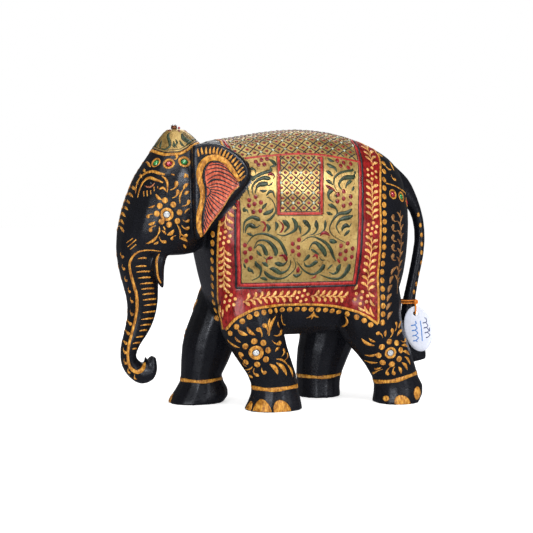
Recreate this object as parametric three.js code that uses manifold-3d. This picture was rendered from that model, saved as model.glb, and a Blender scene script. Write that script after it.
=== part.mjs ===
// Painted carved-wood elephant in a walking stance, with inlaid stones and a string tag on its tail.
// Millimetres, +Z up. The elephant faces -Y and its left side is +X. It stands on Z = 0.

import * as THREE from 'three';
import { mergeVertices } from 'three/addons/utils/BufferGeometryUtils.js';
import Module from 'manifold-3d';

const wasm = await Module();
wasm.setup();

// Driving dimensions
const BELLY_Z = 52;
const BACK_Z = 204;
const BODY_HALF_WIDTH = 46;
const FLOOR_Z = 1.5;
const LEG_OFFSET = 24.5;
const EAR_FRONT_X = 35;
const EAR_FRONT_Y = -73.5;
const EAR_DEPTH = 14;
const EAR_RIM = 2.2;
const EAR_FLARE = 15;
const EAR_DISH_DEPTH = 1.2;
const TRUNK_NOTCH_REACH = 12;
const STONE_DIAMETER = 4.4;
const STONE_HEIGHT = 1.9;
const STONE_SINK = 1;
const GLASS = { clear: 0xd8dde2, red: 0x8c1420, green: 0x1f6a35 };
// [name, side Y, side Z, glass] for the stones of the left flank; the right flank mirrors them.
const PAIRED_STONES = [
  ['forehead_1', -94.6, 179, 'green'],
  ['forehead_2', -87.1, 178.2, 'red'],
  ['forehead_3', -76.3, 179.6, 'green'],
  ['cheek', -90.9, 142.9, 'clear'],
  ['rump_1', 79, 156.5, 'red'],
  ['rump_2', 88, 154.6, 'green'],
  ['rump_3', 96.2, 150.3, 'red'],
];
// The legs stand in stride, so the clear stones of the two sides have their own places.
const LEFT_LEG_STONES = [['shoulder', -29.5, 44.8], ['hip', 74.4, 40.5]];
const RIGHT_LEG_STONES = [['shoulder', -46.5, 44.8], ['hip', 50.5, 40.5]];
const CROWN_Y = -77;
const CUP_DIAMETER = 4.8;
const CUP_HEIGHT = 2.4;
const CUP_WALL = 0.6;
const CROWN_STONE_DIAMETER = 3.2;
const BEAD_DIAMETER = 1.8;
const BEAD_BEHIND_CUP = 3.6;
const SURFACE_LIFT = 0.1;
const FIT_GAP = 0.3;
const TAG_LENGTH = 35;
const TAG_WIDTH = 21.5;
const TAG_THICKNESS = 1;
const TAG_HOLE_DIAMETER = 3.6;
const TAG_HOLE_FROM_END = 5.6;
const TAG_YAW = -20;
const TAG_LEAN = 11;
const TAG_HOLE = new THREE.Vector3(11.4, 109.6, 65.6);
const THREAD_DIAMETER = 1.2;
const LOOP_HALF_LENGTH = 4.4;
const LOOP_HALF_GAP = 1.7;
const KNOT = new THREE.Vector3(8.3, 111.3, 74);
const KNOT_RADIUS = 2;
const KNOT_STRETCH = new THREE.Vector3(1.3, 0.95, 0.95);
const WRAP_PITCH = 1.9;
const WRAP_Y = 108.4;
const WRAP_HALF_LENGTH = 6.7;
const WRAP_HALF_WIDTH = 6.23;

// ---------------------------------------------------------------- solids and booleans

// The same geometry with one vertex at each point, so that its faces share their edges.
function welded(geometry) {
  const bare = geometry.clone();
  bare.deleteAttribute('normal');
  bare.deleteAttribute('uv');
  return mergeVertices(bare, 1e-4);
}

function solidOf(geometry) {
  const merged = welded(geometry);
  return new wasm.Manifold(new wasm.Mesh({
    numProp: 3,
    vertProperties: new Float32Array(merged.attributes.position.array),
    triVerts: new Uint32Array(merged.index.array),
  }));
}

function geometryOf(solid) {
  const mesh = solid.getMesh();
  const geometry = new THREE.BufferGeometry();
  geometry.setAttribute('position', new THREE.BufferAttribute(new Float32Array(mesh.vertProperties), 3));
  geometry.setIndex(new THREE.BufferAttribute(new Uint32Array(mesh.triVerts), 1));
  return geometry;
}

function flipped(geometry) {
  const index = geometry.index.array;
  for (let i = 0; i < index.length; i += 3) {
    [index[i], index[i + 1]] = [index[i + 1], index[i]];
  }
  return geometry;
}

function mirrored(geometry) {
  return flipped(geometry.clone().scale(-1, 1, 1));
}

function signedVolume(geometry) {
  const position = geometry.attributes.position;
  const index = geometry.index.array;
  const corners = [new THREE.Vector3(), new THREE.Vector3(), new THREE.Vector3()];
  let volume = 0;
  for (let i = 0; i < index.length; i += 3) {
    corners.forEach((corner, k) => corner.fromBufferAttribute(position, index[i + k]));
    volume += corners[0].dot(corners[1].clone().cross(corners[2])) / 6;
  }
  return volume;
}

function facingOut(geometry) {
  return signedVolume(geometry) < 0 ? flipped(geometry) : geometry;
}

// Turns a drawing made in XY into the YZ plane, its depth running along X.
function drawnAcross() {
  return new THREE.Matrix4().makeBasis(
    new THREE.Vector3(0, 1, 0), new THREE.Vector3(0, 0, 1), new THREE.Vector3(1, 0, 0));
}

// ---------------------------------------------------------------- lofted limbs

const signedPower = (value, exponent) => Math.sign(value) * Math.abs(value) ** exponent;

// Smooth reading of a station list at 0..1: each number follows its own Catmull-Rom curve.
function stationAt(stations, t) {
  const last = stations.length - 1;
  const place = Math.min(Math.max(t, 0), 1) * last;
  const i = Math.min(Math.floor(place), last - 1);
  const f = place - i;
  const before = stations[Math.max(i - 1, 0)];
  const after = stations[Math.min(i + 2, last)];
  return stations[i].map((b, k) => {
    const [a, c, d] = [before[k], stations[i + 1][k], after[k]];
    const slope = c - a;
    const bend = 2 * a - 5 * b + 4 * c - d;
    const twist = 3 * b - a - 3 * c + d;
    return b + 0.5 * f * (slope + f * (bend + f * twist));
  });
}

// A closed solid swept through stations. Each station is
// [front Y, front Z, back Y, back Z, half width, X offset, squareness]: two outline points in the
// YZ plane and the half width across them. The ends close with domes of the given relative height.
function limb(stations, { rings = 16, sides = 24, domes = [0.3, 0.3], egg = 0 } = {}) {
  const domeRows = 2;
  const rows = rings + 2 * domeRows;
  const geometry = new THREE.SphereGeometry(1, sides, rows);
  const position = geometry.attributes.position;
  for (let row = 0; row <= rows; row++) {
    const t = Math.min(Math.max((row - domeRows) / rings, 0), 1);
    const [fy, fz, by, bz, width, offset, power] = stationAt(stations, t);
    const atStart = row < domeRows;
    const atEnd = row > rows - domeRows;
    const climb = atStart ? row / domeRows : atEnd ? (rows - row) / domeRows : 1;
    const grow = Math.sin(climb * Math.PI / 2);
    const half = Math.hypot(fy - by, fz - bz) / 2;
    const rise = Math.cos(climb * Math.PI / 2) * half * (atStart ? domes[0] : domes[1]);
    const ahead = stationAt(stations, t + 0.02);
    const behind = stationAt(stations, t - 0.02);
    const normal = new THREE.Vector2(fz - bz, by - fy).normalize();
    const travel = new THREE.Vector2(ahead[0] + ahead[2] - behind[0] - behind[2],
      ahead[1] + ahead[3] - behind[1] - behind[3]);
    const outward = Math.sign(normal.dot(travel)) * (atStart ? -1 : 1);
    for (let side = 0; side <= sides; side++) {
      const turn = side / sides * 2 * Math.PI;
      const along = signedPower(Math.cos(turn), 2 / power) * grow;
      const across = signedPower(Math.sin(turn), 2 / power) * grow;
      const x = offset + width * across * (1 + egg * along);
      const y = (fy + by) / 2 + (fy - by) / 2 * along + normal.x * rise * outward;
      const z = (fz + bz) / 2 + (fz - bz) / 2 * along + normal.y * rise * outward;
      position.setXYZ(row * (sides + 1) + side, x, y, z);
    }
  }
  return facingOut(geometry);
}

// ---------------------------------------------------------------- the carved body

function torso() {
  const w = BODY_HALF_WIDTH;
  return limb([
    [-61, 187, -57, 110, 0.60 * w, 0, 3],
    [-54, 194.4, -52.5, 90, 0.75 * w, 0, 2.8],
    [-44, 196.2, -47, 72, 0.86 * w, 0, 2.6],
    [-30, 198.4, -36, BELLY_Z + 8, 0.93 * w, 0, 2.4],
    [-8, 202, -12, BELLY_Z + 1, w, 0, 2.25],
    [16, BACK_Z, 16, BELLY_Z, 1.02 * w, 0, 2.2],
    [40, 202.2, 40, BELLY_Z + 1, 1.02 * w, 0, 2.2],
    [60, 197.4, 62, BELLY_Z + 4, 0.98 * w, 0, 2.2],
    [76.5, 190.6, 77, BELLY_Z + 9, 0.89 * w, 0, 2.2],
    [88, 183.6, 87, BELLY_Z + 16, 0.77 * w, 0, 2.2],
    [96, 175, 94, BELLY_Z + 28, 0.6 * w, 0, 2.1],
    [101, 162, 98.5, BELLY_Z + 48, 0.38 * w, 0, 2],
  ], { rings: 20, sides: 26, domes: [0.07, 0.06] });
}

function head() {
  return limb([
    [-84, 201.2, -67.6, 201.2, 7.5, 0, 2],
    [-90, 193.4, -58.6, 193.4, 14.5, 0, 2],
    [-95.7, 184.8, -54, 184.8, 21, 0, 2],
    [-101.4, 176.3, -51, 176.3, 26, 0, 2],
    [-106.5, 167.8, -50, 167.8, 29, 0, 2.05],
    [-113.5, 150.8, -50, 150.8, 31, 0, 2.1],
    [-117.4, 136, -50, 136, 30.5, 0, 2.1],
    [-118.6, 124, -54, 123, 27.5, 0, 2.1],
    [-115, 115, -62, 115, 21, 0, 2.1],
  ], { rings: 15, sides: 22, domes: [0.26, 0.08] });
}

function trunk() {
  return limb([
    [-118.6, 132, -84, 134, 20, 0, 2],
    [-119.6, 118, -86, 116, 18.5, 0, 2],
    [-118, 104.5, -88.6, 102, 16, 0, 2],
    [-115.2, 93, -89.4, 90.5, 13.8, 0, 2],
    [-112.4, 82, -89.7, 80, 12.2, 0, 2],
    [-111.9, 70, -91.9, 69, 11, 0, 2],
    [-114.2, 59, -96.5, 58.5, 9.8, 0, 2],
    [-116.9, 47, -103.2, 49, 8.8, 0, 2],
    [-116.5, 35.5, -106, 42, 8.2, 0, 2],
    [-111.6, 26.6, -104.4, 38.4, 7.8, 0, 2],
    [-103, 20.7, -101.4, 36.2, 7.4, 0, 2],
    [-94.2, 23, -99.2, 36.4, 7, 0, 2],
    [-90.5, 30.5, -99.8, 37.4, 6.4, 0, 2],
    [-91.4, 39.4, -99.6, 40.2, 5.4, 0, 2],
  ], { rings: 27, sides: 14, domes: [0.2, 0.25], egg: 0.14 });
}

function tusk() {
  return limb([
    [-97, 124, -86, 124, 4.6, 14.5, 2],
    [-96.6, 114.5, -86, 115.5, 4.4, 16, 2],
    [-98.6, 106.4, -88.6, 108.2, 3.8, 16.8, 2],
    [-96.4, 98, -89, 100.4, 2.9, 16, 2],
    [-91.4, 90.6, -88.6, 92, 1.3, 14.6, 2],
  ], { rings: 7, sides: 8, domes: [0.3, 0.7] });
}

function nearForeleg() {
  return limb([
    [-44, 100, -14, 100, 13, LEG_OFFSET, 2],
    [-51.5, 79, -8, 79, 18, LEG_OFFSET, 2.1],
    [-50.5, 65, -4.2, 65, 19.5, LEG_OFFSET, 2.1],
    [-48.1, 55.7, -2.8, 55.7, 19.5, LEG_OFFSET, 2.1],
    [-40.7, 42.8, 0.5, 42.8, 18.6, LEG_OFFSET, 2.1],
    [-30, 27.8, 5.9, 27.8, 16.8, LEG_OFFSET, 2.1],
    [-26, 17.5, 7.6, 17.5, 16.2, LEG_OFFSET, 2.1],
    [-27.6, 9, 9.4, 9, 17.5, LEG_OFFSET, 2.2],
    [-31.6, FLOOR_Z, 11, FLOOR_Z, 18.6, LEG_OFFSET, 2.2],
  ], { rings: 11, sides: 16, domes: [0.3, 0] });
}

function farForeleg() {
  return limb([
    [-42, 100, -16, 100, 13, -LEG_OFFSET, 2],
    [-50.4, 84, -18, 84, 18, -LEG_OFFSET, 2.1],
    [-54.4, 71.2, -20.3, 71.2, 19.2, -LEG_OFFSET, 2.1],
    [-62.2, 52.2, -23.2, 52.2, 18.8, -LEG_OFFSET, 2.1],
    [-64.6, 38, -26, 38, 17.6, -LEG_OFFSET, 2.1],
    [-65.1, 22.5, -34.6, 22.5, 16, -LEG_OFFSET, 2.1],
    [-66.4, 15.5, -32.4, 15.5, 16.2, -LEG_OFFSET, 2.1],
    [-71.6, 8, -28.8, 8.4, 17.5, -LEG_OFFSET, 2.2],
    [-75, FLOOR_Z, -33.6, FLOOR_Z, 18.2, -LEG_OFFSET, 2.2],
  ], { rings: 11, sides: 16, domes: [0.3, 0] });
}

function nearHindLeg() {
  return limb([
    [44, 108, 84, 106, 17, LEG_OFFSET - 3, 2],
    [38, 84, 89.8, 84, 21.5, LEG_OFFSET - 1, 2.1],
    [39.5, 67, 89, 68, 21.5, LEG_OFFSET, 2.1],
    [43, 54.4, 92.2, 54.4, 20.6, LEG_OFFSET, 2.1],
    [51.8, 43, 96.4, 43, 19.2, LEG_OFFSET, 2.1],
    [60.8, 33.3, 99.9, 33.3, 17.8, LEG_OFFSET, 2.1],
    [69.4, 20, 104.2, 20, 16.3, LEG_OFFSET, 2.1],
    [71.2, 11, 108.2, 11, 17.4, LEG_OFFSET, 2.2],
    [70, FLOOR_Z, 104, FLOOR_Z, 18.2, LEG_OFFSET, 2.2],
  ], { rings: 12, sides: 16, domes: [0.3, 0] });
}

function farHindLeg() {
  return limb([
    [38, 108, 80, 106, 17, 3 - LEG_OFFSET, 2],
    [33, 84, 86, 84, 21.5, 1 - LEG_OFFSET, 2.1],
    [31.5, 64, 80.6, 66, 21, -LEG_OFFSET, 2.1],
    [30, 46.4, 75, 46.4, 19, -LEG_OFFSET, 2.1],
    [28, 35.6, 70.2, 35.6, 17.8, -LEG_OFFSET, 2.1],
    [27.2, 20.2, 63.2, 20.2, 16.2, -LEG_OFFSET, 2.1],
    [28, 10.5, 60.6, 10.5, 16.8, -LEG_OFFSET, 2.2],
    [26.6, FLOOR_Z, 61, FLOOR_Z, 18.4, -LEG_OFFSET, 2.2],
  ], { rings: 11, sides: 16, domes: [0.3, 0] });
}

function tail() {
  return limb([
    [92, 181.5, 84, 168, 7, 0, 2],
    [101.5, 174, 92, 160, 7, 0, 2],
    [108.4, 167.2, 97, 154, 6.6, 0, 2],
    [113.4, 158.3, 102.5, 149, 6, 0, 2],
    [117.6, 148, 108.6, 145, 5.4, 0, 2],
    [121, 135.8, 113, 135, 5, 0, 2],
    [122.1, 122, 114.4, 122, 4.8, 0, 2],
    [121, 108.1, 112.2, 108.3, 4.8, 0, 2],
    [118, 95, 109.4, 95, 4.8, 0, 2],
    [115.6, 82, 106, 81, 4.8, 0, 2],
    [114.4, 72, 103.6, 71, 5.2, 0, 2],
    [115.4, 60, 102.2, 60, 5.4, 0.6, 2],
    [119, 48, 99.6, 49, 5.6, 1.4, 2.3],
    [122.6, 38, 100, 38, 5.6, 2, 2.6],
    [122.8, 30, 106, 27, 5.4, 2, 2.8],
  ], { rings: 23, sides: 12, domes: [0.3, 0.05] });
}

// The stub of wood left between the tail's tuft and the hind leg it hangs behind.
function tailBridge() {
  return limb([
    [84, 51, 99.4, 52, 4.2, 6.4, 2],
    [86, 40, 101, 40, 4.2, 6.4, 2],
    [90, 31, 101, 31, 3.4, 6.4, 2],
  ], { rings: 4, sides: 8, domes: [0.1, 0.1] });
}

// Swings a flap drawn flat against the head outward by the flare of the ear.
function flared(geometry, outerX) {
  const flare = THREE.MathUtils.degToRad(EAR_FLARE);
  geometry.applyMatrix4(drawnAcross());
  geometry.translate(outerX, -EAR_FRONT_Y, 0);
  geometry.scale(1, 1 / Math.cos(flare), 1);
  geometry.rotateZ(-flare);
  return geometry.translate(EAR_FRONT_X, EAR_FRONT_Y, 0);
}

function outline(points) {
  const shape = new THREE.Shape();
  shape.moveTo(...points[0]);
  shape.splineThru(points.slice(1).map(([y, z]) => new THREE.Vector2(y, z)));
  return shape;
}

// One ear: a thick flap with a bevelled rim, tapering to a point below.
function ear() {
  const flap = outline([
    [-73.5, 190.6], [-66, 192.6], [-57, 191.9], [-49.2, 189], [-42.6, 184.4], [-37, 178.4],
    [-34.8, 171.4], [-37.4, 164.6], [-43, 157.4], [-50, 149.8], [-57.4, 140.6], [-64, 131.4],
    [-69, 125.2], [-72.4, 128], [-73.2, 142], [-73.5, 165], [-74, 183], [-73.5, 190.6],
  ]);
  const geometry = welded(new THREE.ExtrudeGeometry(flap, {
    depth: EAR_DEPTH,
    curveSegments: 2,
    bevelEnabled: true,
    bevelSegments: 2,
    bevelSize: EAR_RIM,
    bevelThickness: EAR_RIM,
    bevelOffset: -EAR_RIM,
  }));
  return flared(geometry, -EAR_DEPTH - EAR_RIM);
}

// The shallow dish carved into the ear's outer face, as the wood that is taken away.
function earDish() {
  const dish = outline([
    [-65.6, 171.2], [-63, 176.4], [-58.6, 179.2], [-53.6, 177.4], [-49.4, 173.4], [-45.4, 168.6],
    [-42.8, 163.4], [-46, 159.2], [-50, 154.6], [-54.4, 148], [-60.6, 137.8], [-64.6, 130.4],
    [-65.8, 136], [-65.6, 150], [-65.4, 160], [-65.6, 171.2],
  ]);
  const geometry = welded(new THREE.ExtrudeGeometry(dish, {
    depth: EAR_DISH_DEPTH + EAR_RIM,
    curveSegments: 1,
    bevelEnabled: false,
  }));
  return flared(geometry, -EAR_DISH_DEPTH);
}

// The notch between the two lips at the end of the trunk, as the wood that is taken away.
function trunkNotch() {
  const corners = [[-97.4, 36.6], [-91.5, 44], [-99.4, 44]].map(([y, z]) => new THREE.Vector2(y, z));
  const geometry = new THREE.ExtrudeGeometry(new THREE.Shape(corners), {
    depth: 2 * TRUNK_NOTCH_REACH,
    bevelEnabled: false,
  });
  return geometry.translate(0, 0, -TRUNK_NOTCH_REACH).applyMatrix4(drawnAcross());
}

function bodySolid() {
  const leftTusk = tusk();
  const leftEar = solidOf(ear()).subtract(solidOf(earDish()));
  const rightEar = solidOf(mirrored(geometryOf(leftEar)));
  const limbs = [
    head(), leftTusk, mirrored(leftTusk), nearForeleg(), farForeleg(), nearHindLeg(), farHindLeg(), tail(),
    tailBridge(),
  ].map(solidOf);
  const notchedTrunk = solidOf(trunk()).subtract(solidOf(trunkNotch()));
  return limbs.concat(notchedTrunk, leftEar, rightEar)
    .reduce((whole, piece) => whole.add(piece), solidOf(torso()));
}

// ---------------------------------------------------------------- stones

// A round brilliant seen from the side: small table, crown, girdle and a shallow foot.
function stoneGeometry(diameter, height) {
  const r = diameter / 2;
  const profile = [
    [0, 0], [0.8 * r, 0], [r, 0.3 * height], [r, 0.5 * height], [0.55 * r, height], [0, height],
  ];
  return new THREE.LatheGeometry(profile.map(([x, y]) => new THREE.Vector2(x, y)), 8).rotateX(Math.PI / 2);
}

function socketGeometry(diameter) {
  const r = diameter / 2 + FIT_GAP;
  const depth = STONE_SINK + FIT_GAP;
  const profile = [[0, -depth], [r, -depth], [r, 3], [0, 3]];
  return new THREE.LatheGeometry(profile.map(([x, y]) => new THREE.Vector2(x, y)), 12).rotateX(Math.PI / 2);
}

function firstHit(surface, origin, direction) {
  const hit = new THREE.Raycaster(origin, direction).intersectObject(surface)[0];
  return { point: hit.point, normal: hit.face.normal.clone() };
}

// Where a line square to the flank meets the wood; side is 1 for the left flank, -1 for the right.
function seatOn(surface, side, y, z) {
  return firstHit(surface, new THREE.Vector3(side * 200, y, z), new THREE.Vector3(-side, 0, 0));
}

function seatUnder(surface, y) {
  return firstHit(surface, new THREE.Vector3(0, y, 400), new THREE.Vector3(0, 0, -1));
}

function placed(geometry, seat, sink = 0) {
  const turn = new THREE.Quaternion().setFromUnitVectors(new THREE.Vector3(0, 0, 1), seat.normal);
  const spot = seat.point.clone().addScaledVector(seat.normal, -sink);
  return geometry.applyMatrix4(new THREE.Matrix4().compose(spot, turn, new THREE.Vector3(1, 1, 1)));
}

function seats(surface) {
  const list = [];
  for (const [name, y, z, glass] of PAIRED_STONES) {
    const left = seatOn(surface, 1, y, z);
    const right = { point: left.point.clone(), normal: left.normal.clone() };
    right.point.x *= -1;
    right.normal.x *= -1;
    list.push([`${name}_stone_left`, left, glass], [`${name}_stone_right`, right, glass]);
  }
  for (const [name, y, z] of LEFT_LEG_STONES) {
    list.push([`${name}_stone_left`, seatOn(surface, 1, y, z), 'clear']);
  }
  for (const [name, y, z] of RIGHT_LEG_STONES) {
    list.push([`${name}_stone_right`, seatOn(surface, -1, y, z), 'clear']);
  }
  return list;
}

// ---------------------------------------------------------------- crown finial

// A turned metal cup with a rolled lip; its foot sits on the top of the head.
function crownCup() {
  const r = CUP_DIAMETER / 2;
  const floor = CUP_HEIGHT / 2;
  const profile = [[0, 0], [0.8 * r, 0], [r, 0.3 * CUP_HEIGHT], [0.86 * r, 0.7 * CUP_HEIGHT], [r, CUP_HEIGHT],
    [r - CUP_WALL, CUP_HEIGHT], [r - CUP_WALL, floor], [0, floor]];
  return new THREE.LatheGeometry(profile.map(([x, y]) => new THREE.Vector2(x, y)), 14).rotateX(Math.PI / 2);
}

// ---------------------------------------------------------------- string tag

function tagPlacement() {
  return new THREE.Matrix4().makeRotationZ(THREE.MathUtils.degToRad(TAG_YAW))
    .setPosition(TAG_HOLE)
    .multiply(new THREE.Matrix4().makeRotationX(THREE.MathUtils.degToRad(TAG_LEAN)));
}

// Local frame: the card lies in the YZ plane, its hole at the origin, its long axis down -Z.
function tagGeometry() {
  const card = new THREE.Shape();
  card.absellipse(0, TAG_HOLE_FROM_END - TAG_LENGTH / 2, TAG_WIDTH / 2, TAG_LENGTH / 2, 0, 2 * Math.PI);
  const hole = new THREE.Path();
  hole.absellipse(0, 0, TAG_HOLE_DIAMETER / 2, TAG_HOLE_DIAMETER / 2, 0, 2 * Math.PI);
  card.holes.push(hole);
  const geometry = new THREE.ExtrudeGeometry(card, {
    depth: TAG_THICKNESS,
    bevelEnabled: false,
    curveSegments: 12,
  });
  return geometry.translate(0, 0, -TAG_THICKNESS / 2).applyMatrix4(drawnAcross());
}

// A slim closed loop of thread, in the plane across the card, passing through the card's hole.
function loopGeometry() {
  const tubeShare = 0.2;
  const ring = new THREE.TorusGeometry(1, tubeShare, 6, 20);
  const position = ring.attributes.position;
  const tube = THREAD_DIAMETER / 2;
  for (let i = 0; i < position.count; i++) {
    const [x, y, z] = [position.getX(i), position.getY(i), position.getZ(i)];
    const turn = Math.atan2(y, x);
    const lift = (Math.hypot(x, y) - 1) / tubeShare * tube;
    const side = z / tubeShare * tube;
    const [along, across] = [Math.cos(turn) * LOOP_HALF_LENGTH, Math.sin(turn) * LOOP_HALF_GAP];
    const out = new THREE.Vector2(along, across).normalize();
    const rise = LOOP_HALF_LENGTH - tube * 0.2;
    position.setXYZ(i, across + out.y * lift, side, along + out.x * lift + rise);
  }
  return facingOut(ring);
}

// Two turns of thread round the tail, joined by the knot.
function threadGeometry() {
  const wraps = [0.5, -0.5].map((place) => {
    const ring = new THREE.TorusGeometry(WRAP_HALF_LENGTH, THREAD_DIAMETER / 2, 6, 24);
    ring.scale(WRAP_HALF_WIDTH / WRAP_HALF_LENGTH, 1, 1);
    return solidOf(ring.translate(0, WRAP_Y, KNOT.z + place * WRAP_PITCH));
  });
  const knot = new THREE.SphereGeometry(KNOT_RADIUS, 10, 7);
  knot.scale(...KNOT_STRETCH).translate(...KNOT);
  return geometryOf(wraps[0].add(wraps[1]).add(solidOf(knot)));
}

// ---------------------------------------------------------------- assembly

const elephant = new THREE.Group();

function addPart(name, geometry, colour, roughness, metalness = 0) {
  const material = new THREE.MeshStandardMaterial({ color: colour, roughness, metalness });
  const mesh = new THREE.Mesh(geometry, material);
  mesh.name = name;
  elephant.add(mesh);
  return mesh;
}

function addBodyAndStones(uncut, surface) {
  let body = uncut;
  for (const [name, seat, glass] of seats(surface)) {
    body = body.subtract(solidOf(placed(socketGeometry(STONE_DIAMETER), seat)));
    const stone = placed(stoneGeometry(STONE_DIAMETER, STONE_HEIGHT), seat, STONE_SINK);
    addPart(name, stone, GLASS[glass], 0.08);
  }
  addPart('carved_body', geometryOf(body), 0x1a1a20, 0.35);
}

function addCrown(surface) {
  const top = seatUnder(surface, CROWN_Y).point;
  const cup = crownCup().translate(top.x, top.y, top.z + SURFACE_LIFT);
  addPart('crown_cup', cup, 0x5a2b1e, 0.4, 0.8);
  const stone = stoneGeometry(CROWN_STONE_DIAMETER, STONE_HEIGHT);
  stone.translate(top.x, top.y, top.z + SURFACE_LIFT + CUP_HEIGHT / 2 + FIT_GAP);
  addPart('crown_stone', stone, GLASS.clear, 0.06);
  const seat = seatUnder(surface, CROWN_Y + BEAD_BEHIND_CUP);
  const bead = new THREE.SphereGeometry(BEAD_DIAMETER / 2, 10, 8);
  bead.translate(...seat.point.addScaledVector(seat.normal, BEAD_DIAMETER / 2 + SURFACE_LIFT));
  addPart('crown_bead', bead, 0x5c1018, 0.2);
}

function addTag() {
  addPart('hang_tag', tagGeometry().applyMatrix4(tagPlacement()), 0xe6e8f2, 0.6);
  const upright = new THREE.Matrix4().makeRotationZ(THREE.MathUtils.degToRad(TAG_YAW)).setPosition(TAG_HOLE);
  addPart('tag_loop', loopGeometry().applyMatrix4(upright), 0xe07a1a, 0.8);
  addPart('tag_thread', threadGeometry(), 0xe07a1a, 0.8);
}

const uncutBody = bodySolid();
const bodySurface = new THREE.Mesh(geometryOf(uncutBody));
addBodyAndStones(uncutBody, bodySurface);
addCrown(bodySurface);
addTag();

const bounds = new THREE.Box3().setFromObject(elephant);
const middle = bounds.getCenter(new THREE.Vector3());
elephant.position.set(-middle.x, -middle.y, -bounds.min.z);

export default elephant;
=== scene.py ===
"""Looks of the painted wooden elephant: fine carved body, lacquer, painted and gilded ornament."""
import math
import bpy
import numpy as np
from mathutils import Vector, Matrix
from mathutils.bvhtree import BVHTree


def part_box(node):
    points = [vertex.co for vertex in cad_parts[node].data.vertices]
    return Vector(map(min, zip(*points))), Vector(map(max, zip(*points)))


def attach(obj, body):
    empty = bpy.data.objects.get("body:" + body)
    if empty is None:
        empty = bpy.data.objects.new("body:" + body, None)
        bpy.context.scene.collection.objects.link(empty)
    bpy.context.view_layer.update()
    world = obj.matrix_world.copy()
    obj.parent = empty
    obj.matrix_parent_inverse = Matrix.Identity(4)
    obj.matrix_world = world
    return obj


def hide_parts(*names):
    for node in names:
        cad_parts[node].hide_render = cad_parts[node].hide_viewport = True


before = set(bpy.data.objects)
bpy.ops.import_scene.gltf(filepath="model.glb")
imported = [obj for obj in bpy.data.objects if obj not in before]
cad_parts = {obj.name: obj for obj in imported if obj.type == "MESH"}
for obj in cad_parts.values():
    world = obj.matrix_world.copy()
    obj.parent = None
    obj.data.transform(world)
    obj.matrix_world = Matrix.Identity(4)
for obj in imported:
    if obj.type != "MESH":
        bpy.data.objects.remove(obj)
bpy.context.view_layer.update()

MM = 0.001
EQUATOR_Z = 130.0  # height of the barrel's widest line

# ---------------------------------------------------------------- small helpers


def new_object(name, vertices, faces, smooth=True):
    """A mesh piece from points in millimetres."""
    mesh = bpy.data.meshes.new(name)
    mesh.from_pydata([tuple(c * MM for c in v) for v in vertices], [], faces)
    mesh.validate()
    mesh.polygons.foreach_set("use_smooth", [smooth] * len(mesh.polygons))
    piece = bpy.data.objects.new(name, mesh)
    bpy.context.scene.collection.objects.link(piece)
    return piece


def spline(points, step=1.0, closed=False, whole=math.ceil, axes=2):
    """Catmull-Rom through points, cut at about step as measured on the first axes."""
    pts = [np.array(p, float) for p in points]
    n = len(pts)
    out = []
    for i in range(n if closed else n - 1):
        a = pts[i - 1] if (closed or i > 0) else 2 * pts[0] - pts[1]
        b, c = pts[i], pts[(i + 1) % n]
        d = pts[(i + 2) % n] if (closed or i + 2 < n) else 2 * c - b
        cuts = max(1, whole(float(np.linalg.norm((c - b)[:axes])) / step))
        for k in range(cuts):
            t = k / cuts
            out.append(0.5 * (2 * b + (c - a) * t + (2 * a - 5 * b + 4 * c - d) * t * t
                              + (3 * b - a - 3 * c + d) * t ** 3))
    if not closed:
        out.append(pts[-1])
    return out


def circle(count):
    """Angles of count even steps round a circle."""
    return [2 * math.pi * k / count for k in range(count)]


def bridge(faces, loops, closed=True):
    """Joins each loop of vertex numbers to the next one with quads."""
    for a, b in zip(loops, loops[1:]):
        for k in range(len(a) if closed else len(a) - 1):
            j = (k + 1) % len(a)
            faces.append((a[k], a[j], b[j], b[k]))


def rows_of(count, sides):
    """Vertex numbers of rings that were added one after another."""
    return [[i * sides + k for k in range(sides)] for i in range(count)]


def follow(table, x):
    """Value at x along a table of (x, value) rows."""
    return float(np.interp(x, [row[0] for row in table], [row[1] for row in table]))


# ---------------------------------------------------------------- the carved body

VOXEL = 1.05        # cell size of the resampled skin
SOFT_PASSES = 6     # smoothing of the whole skin
BLEND_PASSES = 45   # smoothing where the legs enter the flank
LEG_TOPS = ((28, 96, 74, 112), (-50, 4, 78, 104))  # those places: y0, y1, z0, z1


def settle(piece):
    """Bakes the modifiers of a piece into its mesh."""
    shown = piece.evaluated_get(bpy.context.evaluated_depsgraph_get())
    piece.data = bpy.data.meshes.new_from_object(shown)
    piece.modifiers.clear()


def patch(y, z, y0, y1, z0, z1, fade=7.0):
    """1 inside an area of the flank, fading to 0 at its edges."""
    return max(0.0, min(1.0, (y - y0) / fade, (y1 - y) / fade, (z - z0) / fade, (z1 - z) / fade))


def smooth(piece, passes, group=""):
    soft = piece.modifiers.new("soft", "SMOOTH")
    soft.factor = 0.5
    soft.iterations = passes
    soft.vertex_group = group
    settle(piece)


def fine_body():
    """The CAD body resampled to an even fine skin with softened carving edges."""
    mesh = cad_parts["carved_body"].data.copy()
    piece = bpy.data.objects.new("carved_wood", mesh)
    bpy.context.scene.collection.objects.link(piece)
    even = piece.modifiers.new("even", "REMESH")
    even.mode = "VOXEL"
    even.voxel_size = VOXEL * MM
    smooth(piece, SOFT_PASSES)
    tops = piece.vertex_groups.new(name="leg tops")
    for vertex in piece.data.vertices:
        _, y, z = vertex.co / MM
        share = max(patch(y, z, *area) for area in LEG_TOPS)
        if share > 0:
            tops.add([vertex.index], share, "REPLACE")
    smooth(piece, BLEND_PASSES, "leg tops")
    piece.data.polygons.foreach_set("use_smooth", [True] * len(piece.data.polygons))
    return piece


BODY = fine_body()


def skin_tree():
    points = [v.co * 1000 for v in BODY.data.vertices]
    return BVHTree.FromPolygons(points, [tuple(p.vertices) for p in BODY.data.polygons])


SKIN = skin_tree()

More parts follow.
